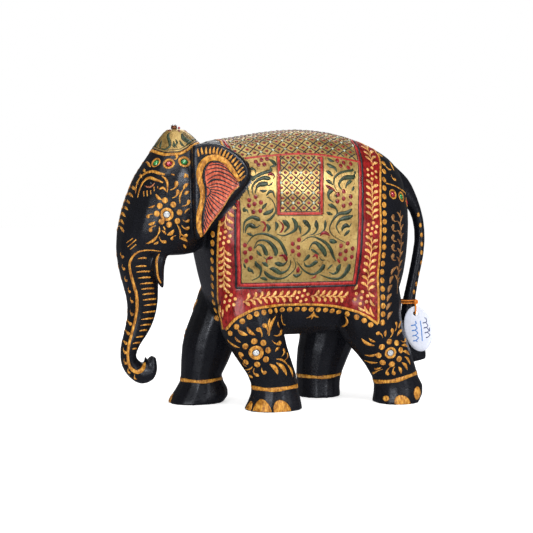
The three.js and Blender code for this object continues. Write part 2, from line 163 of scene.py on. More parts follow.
# ---------------------------------------------------------------- places on the skin
# A chart turns two numbers into a point and a normal on the skin, or None off the wood.


def cast(origin, way):
    """Point and normal where a ray first meets the skin, or None."""
    point, normal, _, _ = SKIN.ray_cast(Vector(origin), Vector(way))
    return None if point is None else (point, normal)


def side(sign):
    """Seen square from the flank: y, z."""
    def at(y, z):
        place = cast((sign * 90, y, z), (-sign, 0, 0))
        if place is None or place[0].x * sign < 0.5:
            return None
        return place
    return at


SECTIONS = {}


def section(y):
    """Angles, arc lengths and heights round the barrel at y, from the spine to the equator."""
    key = round(y)
    if key not in SECTIONS:
        angles = [math.radians(a) for a in range(0, 91, 3)]
        points = []
        for a in angles:
            place = cast((0, key, EQUATOR_Z), (math.sin(a), 0, math.cos(a)))
            points.append(place[0] if place is not None else points[-1])
        arcs = [0.0]
        for a, b in zip(points, points[1:]):
            arcs.append(arcs[-1] + (a - b).length)
        SECTIONS[key] = (np.array(angles), np.array(arcs), [p.z for p in points])
    return SECTIONS[key]


def saddle(sign):
    """Round the barrel: y, and the arc length from the spine."""
    def at(y, s):
        angles, arcs, _ = section(y)
        a = float(np.interp(abs(s), arcs, angles)) * (sign if s >= 0 else -sign)
        return cast((0, y, EQUATOR_Z), (math.sin(a), 0, math.cos(a)))
    return at


def flank(sign):
    """y, and v: below 0 the height under the equator, above 0 the arc length over it."""
    low, high = side(sign), saddle(sign)

    def at(y, v):
        if v <= 0:
            return low(y, EQUATOR_Z + v)
        return high(y, section(y)[1][-1] - v)
    return at


def slant(sign, degrees):
    """Square on to a face turned forward by an angle: the first number runs along that face."""
    c, d = math.cos(math.radians(degrees)), math.sin(math.radians(degrees))
    out = Vector((sign * c, -d, 0))
    along = Vector((sign * d, c, 0))

    def at(u, z):
        return cast(out * 200 + along * u + Vector((0, 0, z)), -out)
    return at


def around(x, y):
    """Round an upright axis that stands inside the wood: angle in degrees from the front, z."""
    def at(angle, z):
        a = math.radians(angle)
        return cast((x, y, z), (math.sin(a), -math.cos(a), 0))
    return at


def leaned(x, foot, knee):
    """Round a leaning limb: its axis runs from foot (y, z) to knee (y, z)."""
    def at(angle, z):
        t = (z - foot[1]) / (knee[1] - foot[1])
        return around(x, foot[0] + (knee[0] - foot[0]) * t)(angle, z)
    return at


def dome(y, z):
    """Over a rounded top from a point inside it: angle from the front, elevation in degrees."""
    def at(angle, rise):
        a, e = math.radians(angle), math.radians(rise)
        return cast((0, y, z), (math.sin(a) * math.cos(e), -math.cos(a) * math.cos(e), math.sin(e)))
    return at


EAR_OUTLINE = [
    (-75.2, 189.1), (-67.7, 191.1), (-58.7, 190.4), (-50.9, 187.5), (-44.3, 182.9), (-38.7, 176.9),
    (-36.5, 169.9), (-39.1, 163.1), (-44.7, 155.9), (-51.7, 148.3), (-59.1, 139.1), (-65.7, 129.9),
    (-70.7, 123.7), (-75, 126.5),
]


def inside(outline, y, z):
    """True for a point within a closed outline."""
    odd = False
    for (y0, z0), (y1, z1) in zip(outline, outline[1:] + outline[:1]):
        if (z0 > z) != (z1 > z) and y < (y1 - y0) * (z - z0) / (z1 - z0) + y0:
            odd = not odd
    return odd


def under_ear(y, z):
    """True where the ear flap stands over the flank."""
    return any(inside(EAR_OUTLINE, y - back, z) for back in (0, 2, 4, 5.5))


# ---------------------------------------------------------------- paint laid on the skin

SINK = 0.15        # how far the paint's edges reach under the skin
THINNEST = 0.06    # half width of the finest stroke
FULL_HALF = 0.5    # half width from which a stroke has its full height
SHOULDER = 0.6     # height of a stroke's shoulders as a share of its middle
# Share of the way from root to tip, share of the width.
LEAF_SHAPE = ((0, 0.18), (0.25, 0.75), (0.5, 1.0), (0.78, 0.7), (1, 0.1))
COMMA_SHAPE = ((-0.12, 0.3), (0.02, 0.95), (0.2, 0.9), (0.42, 0.42), (0.7, 0.24), (1, 0.12))


class Paint:
    """One colour of raised paint: strokes, dots and leaves gathered in one piece."""

    def __init__(self, name, lift=0.22):
        self.name, self.lift = name, lift
        self.vertices, self.faces = [], []

    def stroke(self, at, points, width, closed=False, step=0.9, base=0.0, skip=None):
        """points: (u, v) or (u, v, share of width). Drawn in runs where the skin is found."""
        pts = [tuple(p) + (1.0,) * (3 - len(p)) for p in points]
        places = [(at(p[0], p[1]), p[2]) for p in spline(pts, step, closed)]
        run = []
        count = len(places)
        for i, (place, share) in enumerate(places):
            if place is None or (skip is not None and skip(place[0])):
                self._ribbon(run, False, base)
                run = []
                continue
            before = places[i - 1][0] if (i or closed) else None
            after = places[(i + 1) % count][0] if (i + 1 < count or closed) else None
            along = (after or place)[0] - (before or place)[0]
            if along.length < 1e-4 or along.length > 8 * step:
                self._ribbon(run, False, base)
                run = []
                continue
            point, normal = place
            half = max(width * share / 2, THINNEST)
            across = normal.cross(along).normalized() * half
            left, right = SKIN.find_nearest(point + across)[0], SKIN.find_nearest(point - across)[0]
            run.append((left, place, right, min(1.0, half / FULL_HALF)))
        self._ribbon(run, closed and len(run) == count, base)

    def _ribbon(self, run, closed, base):
        """A strip of five points across, from edge over shoulders and middle to edge."""
        if len(run) < 2:
            return
        start = len(self.vertices)
        for left, (middle, n), right, grow in run:
            top = base + self.lift * grow
            shoulder = base + (top - base) * SHOULDER
            self.vertices += [left - n * SINK, left + n * shoulder, middle + n * top,
                              right + n * shoulder, right - n * SINK]
        count = len(run)
        for i in range(count if closed else count - 1):
            a, b = start + i * 5, start + (i + 1) % count * 5
            for k in range(4):
                self.faces.append((a + k, a + k + 1, b + k + 1, b + k))
        if not closed:
            self.faces.append(tuple(start + k for k in (4, 3, 2, 1, 0)))
            last = start + (count - 1) * 5
            self.faces.append(tuple(last + k for k in range(5)))

    def dot(self, at, u, v, across, along=None, turn=0.0, base=0.0, skip=None, sides=14):
        """A round or oval spot, sized on the skin itself."""
        along = along or across
        middle = at(u, v)
        if middle is None or (skip is not None and skip(middle[0])):
            return
        point, normal = middle
        up = Vector((0, 0, 1)) - normal * normal.z
        if up.length < 0.2:
            up = Vector((0, 1, 0)) - normal * normal.y
        up = Matrix.Rotation(turn, 3, normal) @ up.normalized()
        wide = up.cross(normal)
        loops = []
        for share, height in ((1.0, -SINK), (1.0, 0.55 * self.lift + base), (0.72, self.lift + base)):
            loop = []
            for a in circle(sides):
                spot = point + (wide * (across * math.cos(a)) + up * (along * math.sin(a))) * (share / 2)
                near, facing, _, _ = SKIN.find_nearest(spot)
                loop.append(len(self.vertices))
                self.vertices.append(near + facing * height)
            loops.append(loop)
        bridge(self.faces, loops)
        self.vertices.append(point + normal * (self.lift * 1.1 + base))
        top = len(self.vertices) - 1
        for k in range(sides):
            self.faces.append((loops[-1][k], loops[-1][(k + 1) % sides], top))

    def _bent(self, at, start, end, shape, width, bend, step, base, skip):
        """A stroke from start to end that bows to one side, with its widths in shape."""
        (u0, v0), (u1, v1) = start, end
        du, dv = u1 - u0, v1 - v0
        points = []
        for t, share in shape:
            bow = bend * math.sin(math.pi * max(t, 0))
            points.append((u0 + du * t - dv * bow, v0 + dv * t + du * bow, share))
        self.stroke(at, points, width, step=step, base=base, skip=skip)

    def leaf(self, at, tip, root, width, bend=0.0, base=0.0, skip=None):
        """A pointed leaf from its root to its tip, full in the middle, bent to one side."""
        self._bent(at, root, tip, LEAF_SHAPE, width, bend, 0.7, base, skip)

    def comma(self, at, head, tail, width, bend=0.25, base=0.0, skip=None):
        """A round head drawn out to a thin curling tail."""
        self._bent(at, head, tail, COMMA_SHAPE, width, bend, 0.6, base, skip)
    def sheet(self, rows, keep, base=0.12):
        """A thin even coat over a grid of places; keep says which cells are laid."""
        index = {}
        for i, row in enumerate(rows):
            for k, place in enumerate(row):
                if place is not None:
                    index[i, k] = place
        used = {}
        for i in range(len(rows) - 1):
            for k in range(len(rows[0]) - 1):
                corners = [(i, k), (i, k + 1), (i + 1, k + 1), (i + 1, k)]
                if any(c not in index for c in corners) or not keep(*[index[c] for c in corners]):
                    continue
                face = []
                for c in corners:
                    if c not in used:
                        used[c] = len(self.vertices)
                        self.vertices.append(index[c][0] + index[c][1] * base)
                    face.append(used[c])
                self.faces.append(tuple(face))

    def piece(self, material, slot):
        made = new_object(self.name, self.vertices, self.faces)
        made.data.materials.append(material)
        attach(made, "root")
        return made


def lay(*layers):
    """Makes the pieces of several layers: each is (paint, material, slot)."""
    for layer, material, slot in layers:
        layer.piece(material, slot)


# ---------------------------------------------------------------- materials


class Nodes:
    """A short way to wire a Principled material."""

    def __init__(self, name):
        self.material = bpy.data.materials.new(name)
        self.material.use_nodes = True
        self.tree = self.material.node_tree
        self.bsdf = self.tree.nodes["Principled BSDF"]
        self.place = self.tree.nodes.new("ShaderNodeTexCoord").outputs["Object"]

    def add(self, kind, **settings):
        node = self.tree.nodes.new("ShaderNode" + kind)
        for key, value in settings.items():
            setattr(node, key, value)
        return node

    def link(self, a, b):
        self.tree.links.new(a, b)

    def stretch(self, scale):
        node = self.add("Mapping")
        self.link(self.place, node.inputs["Vector"])
        node.inputs["Scale"].default_value = scale
        return node.outputs["Vector"]

    def noise(self, scale, detail=3.0, rough=0.55, vector=None, warp=0.0):
        node = self.add("TexNoise")
        self.link(vector or self.place, node.inputs["Vector"])
        node.inputs["Scale"].default_value = scale
        node.inputs["Detail"].default_value = detail
        node.inputs["Roughness"].default_value = rough
        node.inputs["Distortion"].default_value = warp
        return node.outputs["Fac"]

    def ramp(self, factor, *stops):
        node = self.add("ValToRGB")
        self.link(factor, node.inputs["Fac"])
        elements = node.color_ramp.elements
        while len(elements) < len(stops):
            elements.new(0.5)
        for element, (place, colour) in zip(elements, stops):
            element.position = place
            element.color = colour if len(colour) == 4 else (*colour, 1)
        return node.outputs["Color"]

    def grey(self, factor, lo, hi, a=0.3, b=0.7):
        return self.ramp(factor, (a, (lo,) * 3), (b, (hi,) * 3))

    def mix(self, factor, a, b, mode="MIX"):
        node = self.add("Mix", data_type="RGBA", blend_type=mode)
        for socket, value in ((node.inputs[0], factor), (node.inputs[6], a), (node.inputs[7], b)):
            if isinstance(value, bpy.types.NodeSocket):
                self.link(value, socket)
            elif isinstance(value, (int, float)):
                socket.default_value = value
            else:
                socket.default_value = (*value, 1)
        return node.outputs[2]

    def bump(self, height, strength, distance, after=None):
        node = self.add("Bump")
        node.inputs["Strength"].default_value = strength
        node.inputs["Distance"].default_value = distance
        self.link(height, node.inputs["Height"])
        if after is not None:
            self.link(after, node.inputs["Normal"])
        return node.outputs["Normal"]

    def finish(self, colour=None, rough=None, normal=None, **constants):
        for socket, value in (("Base Color", colour), ("Roughness", rough), ("Normal", normal)):
            if value is None:
                continue
            if isinstance(value, bpy.types.NodeSocket):
                self.link(value, self.bsdf.inputs[socket])
            else:
                self.bsdf.inputs[socket].default_value = value
        for key, value in constants.items():
            self.bsdf.inputs[key.replace("_", " ")].default_value = value
        return self.material


def lacquer():
    n = Nodes("black_lacquer")
    cloud = n.noise(38, 4, 0.6)
    grain = n.noise(900, 2, 0.6, n.stretch((1, 0.35, 1)))
    speck = n.noise(2300, 2, 0.7)
    colour = n.ramp(cloud, (0.3, (0.0025, 0.0025, 0.0035)), (0.62, (0.0045, 0.0048, 0.0075)),
                    (0.8, (0.009, 0.0085, 0.011)))
    # Pale blue-grey specks added over the black at random.
    blue_grey_specks = n.ramp(speck, (0.6, (0, 0, 0)), (0.8, (0.016, 0.017, 0.023)))
    colour = n.mix(1.0, colour, blue_grey_specks, "ADD")
    rough = n.grey(grain, 0.24, 0.4)
    normal = n.bump(speck, 0.35, 0.00012, n.bump(grain, 0.25, 0.00015, n.bump(cloud, 0.5, 0.0009)))
    return n.finish(colour, rough, normal, Specular_IOR_Level=0.5, Specular_Tint=(0.86, 0.9, 1, 1))


def brushed_paint(name, dark, middle, light, rough=(0.3, 0.5), metal=0.0, streak=520.0, patch=140.0):
    """Hand-laid paint: pooled dark spots, fine brush streaks and a little relief."""
    n = Nodes(name)
    streaks = n.noise(streak, 3, 0.6, n.stretch((1, 1.6, 0.55)))
    pools = n.noise(patch, 3, 0.6)
    speck = n.noise(2400, 2, 0.6)
    colour = n.ramp(streaks, (0.33, dark), (0.5, middle), (0.68, light))
    shade = n.ramp(pools, (0.34, (0.5, 0.44, 0.4)), (0.56, (1, 1, 1)))
    colour = n.mix(0.9, colour, shade, "MULTIPLY")
    normal = n.bump(speck, 0.2, 0.0001, n.bump(streaks, 0.4, 0.00022))
    return n.finish(colour, n.grey(pools, *rough), normal, Metallic=metal, Specular_IOR_Level=0.5)


def gold_leaf():
    """Metal leaf in patches, worn thin and scratched."""
    n = Nodes("leaf_gold")
    patches = n.noise(75, 4, 0.62, warp=0.6)
    fine = n.noise(600, 3, 0.65)
    scratch = n.noise(420, 2, 0.5, n.stretch((1, 3.2, 0.4)), warp=0.4)
    colour = n.ramp(patches, (0.28, (0.26, 0.155, 0.042)), (0.48, (0.43, 0.28, 0.088)),
                    (0.7, (0.58, 0.42, 0.155)))
    wear = n.ramp(fine, (0.33, (0.55, 0.47, 0.4)), (0.5, (1, 1, 1)))
    colour = n.mix(0.8, colour, wear, "MULTIPLY")
    normal = n.bump(fine, 0.3, 0.00016, n.bump(scratch, 0.4, 0.0003, n.bump(patches, 0.45, 0.0008)))
    return n.finish(colour, n.grey(fine, 0.26, 0.46), normal, Metallic=0.55, Specular_IOR_Level=0.6)


LACQUER = lacquer()
GOLD_LEAF = gold_leaf()
# Each paint: name, dark, middle and light colour, range of roughness, share of metal.
GOLD = brushed_paint("gold_paint", (0.25, 0.085, 0.007), (0.54, 0.225, 0.02), (0.76, 0.41, 0.07),
                     (0.3, 0.5), 0.1, patch=260.0)
OLD_GOLD = brushed_paint("old_gold", (0.12, 0.045, 0.012), (0.26, 0.115, 0.03), (0.42, 0.21, 0.06),
                         (0.32, 0.5), 0.05)
PALE_GOLD = brushed_paint("pale_gold", (0.44, 0.17, 0.03), (0.68, 0.34, 0.085), (0.87, 0.58, 0.26),
                          (0.3, 0.45), 0.05)
RED = brushed_paint("red_paint", (0.1, 0.002, 0.002), (0.215, 0.0045, 0.0045), (0.32, 0.011, 0.009),
                    (0.2, 0.36))
RED_LINE = brushed_paint("red_line", (0.23, 0.006, 0.006), (0.39, 0.016, 0.014), (0.5, 0.045, 0.032),
                         (0.24, 0.4))
BERRY = brushed_paint("berry_paint", (0.08, 0.002, 0.003), (0.18, 0.004, 0.008), (0.28, 0.012, 0.018),
                      (0.2, 0.34))
GREEN = brushed_paint("green_paint", (0.009, 0.018, 0.012), (0.024, 0.042, 0.02), (0.052, 0.078, 0.034),
                      (0.26, 0.4))
BLACK = brushed_paint("black_line", (0.006, 0.006, 0.009), (0.014, 0.014, 0.02), (0.035, 0.035, 0.045),
                      (0.25, 0.4))
SALMON = brushed_paint("ear_pink", (0.32, 0.035, 0.014), (0.52, 0.085, 0.035), (0.68, 0.18, 0.09),
                       (0.25, 0.42))
MINT = brushed_paint("pale_dots", (0.22, 0.27, 0.2), (0.38, 0.45, 0.35), (0.6, 0.66, 0.55), (0.3, 0.45))

BODY.data.materials.clear()
BODY.data.materials.append(LACQUER)
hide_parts("carved_body")
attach(BODY, "root")

# ---------------------------------------------------------------- the saddle blanket
# Edges of the blanket and of its gold field: (z, y) down the flank, (y, z) along it.

FRONT_EDGE = [(58, -50), (72, -52.3), (95, -53.6), (125, -54.5), (160, -53), (180, -50), (203, -46)]
REAR_EDGE = [(60, 61.4), (80, 62), (114, 63.4), (150, 64.3), (168, 67.5), (180, 71.8), (203, 74)]
LOWER_EDGE = [
    (-50, 59.7), (-45.7, 67.2), (-37.9, 72.2), (-30.7, 74.9), (-20, 75.9), (5, 76.2), (27.7, 74.6),
    (42.5, 71.4), (51.7, 67.5), (61.4, 61),
]
PANEL_FRONT = [(93, -40), (116, -41.8), (150, -41.7), (165, -42.6), (203, -44)]
PANEL_REAR = [(93, 41.9), (114, 43.5), (150, 45.4), (165, 47), (176, 49.2), (203, 53)]
PANEL_FLOOR_Z = 93.3
RIDGE_LINE = [(-44, 179.2), (-28, 181.4), (-10, 183.1), (5.6, 184), (23.5, 183.1), (37, 181), (50.5, 178.6)]
SPINE_Z = 203       # last height in the tables of edges
EDGE_BASE = 0.1     # heights at which the layers of paint start, above the wood
SHEET_OVERLAP = 0.5
LINE_BASE = 0.12
FIELD = 0.14
EAR_REAR_Y = -33


def lower_z(y):
    return follow(LOWER_EDGE, y)


def flank_v(y, z):
    """The flank chart's v for a height."""
    if z <= EQUATOR_Z:
        return z - EQUATOR_Z
    _, arcs, heights = section(y)
    return float(arcs[-1] - np.interp(-z, [-h for h in heights], arcs))


def spine_v(y):
    return float(section(y)[1][-1])


def in_panel(y, z):
    """True on the gold field, with a small overlap under its red line."""
    return (z > PANEL_FLOOR_Z - SHEET_OVERLAP
            and follow(PANEL_FRONT, z) - SHEET_OVERLAP < y < follow(PANEL_REAR, z) + SHEET_OVERLAP)


def hidden(point):
    """True for places that the ear covers, which stay unpainted."""
    return point.y < EAR_REAR_Y and under_ear(point.y, point.z)


# The chest narrows in front, so the front strip is laid out square to a face turned 20 degrees.
STRIP_TURN = 20
GARLAND_TURN = 50
STRIP_EDGE = [
    (58, -38.4), (66, -39.8), (72, -41.4), (80, -42.6), (94, -42.4), (107, -42.3), (128, -41.4), (152, -38),
]
FAR_STRIP_TRIM = 6.0
STRIP_BACK_Y = -45.4
STRIP_TOP_Z = 150
STRIP_FOOT_Z = 59.4
STRIP_REAR_U = -26
WIDEST_CELL = 4     # wider cells of a sheet would span a gap in the wood


def cell(places):
    """Middle of a cell of a sheet, and whether it is narrow enough and clear of the ear."""
    middle = sum((p[0] for p in places), Vector()) / 4
    spread = max((p[0] - middle).length for p in places)
    return middle, spread <= WIDEST_CELL and not hidden(middle)


def strip_edge(z, sign):
    """Front edge of the blanket on the turned chart; it lies farther back on the right flank."""
    return follow(STRIP_EDGE, z) + (0 if sign > 0 else FAR_STRIP_TRIM * min(1, (STRIP_TOP_Z - z) / 25))


def strip_ground(sign, red):
    """Crimson coat of the narrow strip in front of the gold field."""
    at = slant(sign, STRIP_TURN)
    wide, tall = 14, 89
    corner_y, corner_z = LOWER_EDGE[0]
    rows = []
    for i in range(wide + 1):
        row = []
        for k in range(tall + 1):
            z = STRIP_FOOT_Z + (STRIP_TOP_Z + 1 - STRIP_FOOT_Z) * k / tall
            low = strip_edge(z, sign)
            row.append(at(low + (STRIP_REAR_U - low) * i / wide, z))
        rows.append(row)

    def is_strip(*places):
        m, sound = cell(places)
        foot = corner_z + (m.y - corner_y) * 1.75
        return sound and m.y < STRIP_BACK_Y + SHEET_OVERLAP and m.z > foot

    red.sheet(rows, is_strip)


def strip_middle(z, sign):
    """Halfway across the front strip, on the garland's chart."""
    c, d = math.cos(math.radians(GARLAND_TURN)), math.sin(math.radians(GARLAND_TURN))
    front = slant(sign, STRIP_TURN)(strip_edge(z, sign), z)
    rear = side(sign)(follow(PANEL_FRONT, z) - 6, z)
    spots = [place[0] for place in (front, rear) if place is not None]
    return sum(p.y * c + abs(p.x) * d for p in spots) / len(spots)


def blanket_ground(sign, red, gold):
    """The two coats: crimson border and gold-leaf field."""
    at = flank(sign)
    across, down = 118, 160
    rows = []
    for i in range(across + 1):
        p = i / across
        y_guess = -52 + 116 * p
        top = spine_v(y_guess)
        low = lower_z(y_guess) - EQUATOR_Z
        row = []
        for k in range(down + 1):
            v = low + (top - low) * k / down
            place = at(y_guess, v)
            z = place[0].z if place else EQUATOR_Z
            y = follow(FRONT_EDGE, z) + (follow(REAR_EDGE, z) - follow(FRONT_EDGE, z)) * p
            row.append(at(y, max(v, lower_z(y) - EQUATOR_Z)))
        rows.append(row)

    def is_gold(*places):
        m, sound = cell(places)
        return sound and in_panel(m.y, m.z)

    def is_red(*places):
        m, sound = cell(places)
        strip = m.y < STRIP_BACK_Y and m.z < STRIP_TOP_Z
        return sound and not strip and not in_panel(m.y, m.z)

    gold.sheet(rows, is_gold)
    red.sheet(rows, is_red)
    strip_ground(sign, red)


def vertical(table, low_z, shift=0.0):
    """Points up the flank to the spine along one of the edge tables."""
    points = []
    spans = 45
    for k in range(spans + 1):
        z = low_z + (SPINE_Z - low_z) * k / spans
        y = follow(table, z) + shift
        heights = section(y)[2]
        if z >= heights[0] - 0.4:
            points.append((y, spine_v(y)))
            break
        points.append((y, flank_v(y, z)))
    return points


def field_frame(sign, width, gap, layer):
    """One line round the front, the rear and the foot of the gold field."""
    front = vertical(PANEL_FRONT, PANEL_FLOOR_Z - gap, -gap)
    rear = vertical(PANEL_REAR, PANEL_FLOOR_Z - gap, gap)
    floor = [(y, PANEL_FLOOR_Z - gap) for y in np.linspace(front[0][0], rear[0][0], 12)]
    layer.stroke(flank(sign), front, width, skip=hidden, base=LINE_BASE)
    layer.stroke(flank(sign), rear, width, skip=hidden, base=LINE_BASE)
    layer.stroke(side(sign), floor, width, skip=hidden, base=LINE_BASE)


def blanket_edges(sign):
    """Gold lines round the blanket, and the frame of its gold field."""
    edge_width = 1.7
    rear = vertical(REAR_EDGE, lower_z(LOWER_EDGE[-1][0]))
    front = vertical(FRONT_EDGE, STRIP_TOP_Z)
    strip = [(strip_edge(z, sign), z) for z in np.linspace(STRIP_FOOT_Z, STRIP_TOP_Z, 40)]
    gold_lines.stroke(flank(sign), rear, edge_width, base=EDGE_BASE)
    gold_lines.stroke(flank(sign), front, edge_width, skip=hidden, base=EDGE_BASE)
    gold_lines.stroke(slant(sign, STRIP_TURN), strip, edge_width, skip=hidden, base=EDGE_BASE)
    gold_lines.stroke(side(sign), LOWER_EDGE, 1.9, skip=hidden, base=EDGE_BASE)
    field_frame(sign, 1.8, 1.9, red_lines)
    field_frame(sign, 1.5, 4.0, black_lines)
    field_frame(sign, 0.5, 0.6, black_lines)
    red_lines.stroke(side(sign), RIDGE_LINE, 1.5, skip=hidden, base=FIELD)


red_ground, gold_ground = Paint("blanket_border"), Paint("blanket_field")
gold_lines, red_lines = Paint("blanket_edge_gold", 0.3), Paint("blanket_lines_red")
black_lines = Paint("blanket_lines_black")
for sign in (1, -1):
    blanket_ground(sign, red_ground, gold_ground)
    blanket_edges(sign)
lay((red_ground, RED, "red_paint"), (gold_ground, GOLD_LEAF, "gold_leaf"), (gold_lines, GOLD, "gold_paint"),
    (red_lines, RED_LINE, "red_paint"), (black_lines, BLACK, "black_lacquer_wood"))


# ---------------------------------------------------------------- scrollwork on the gold field
# Strokes are (width, points); a point is y, z and its share of the width, in millimetres.

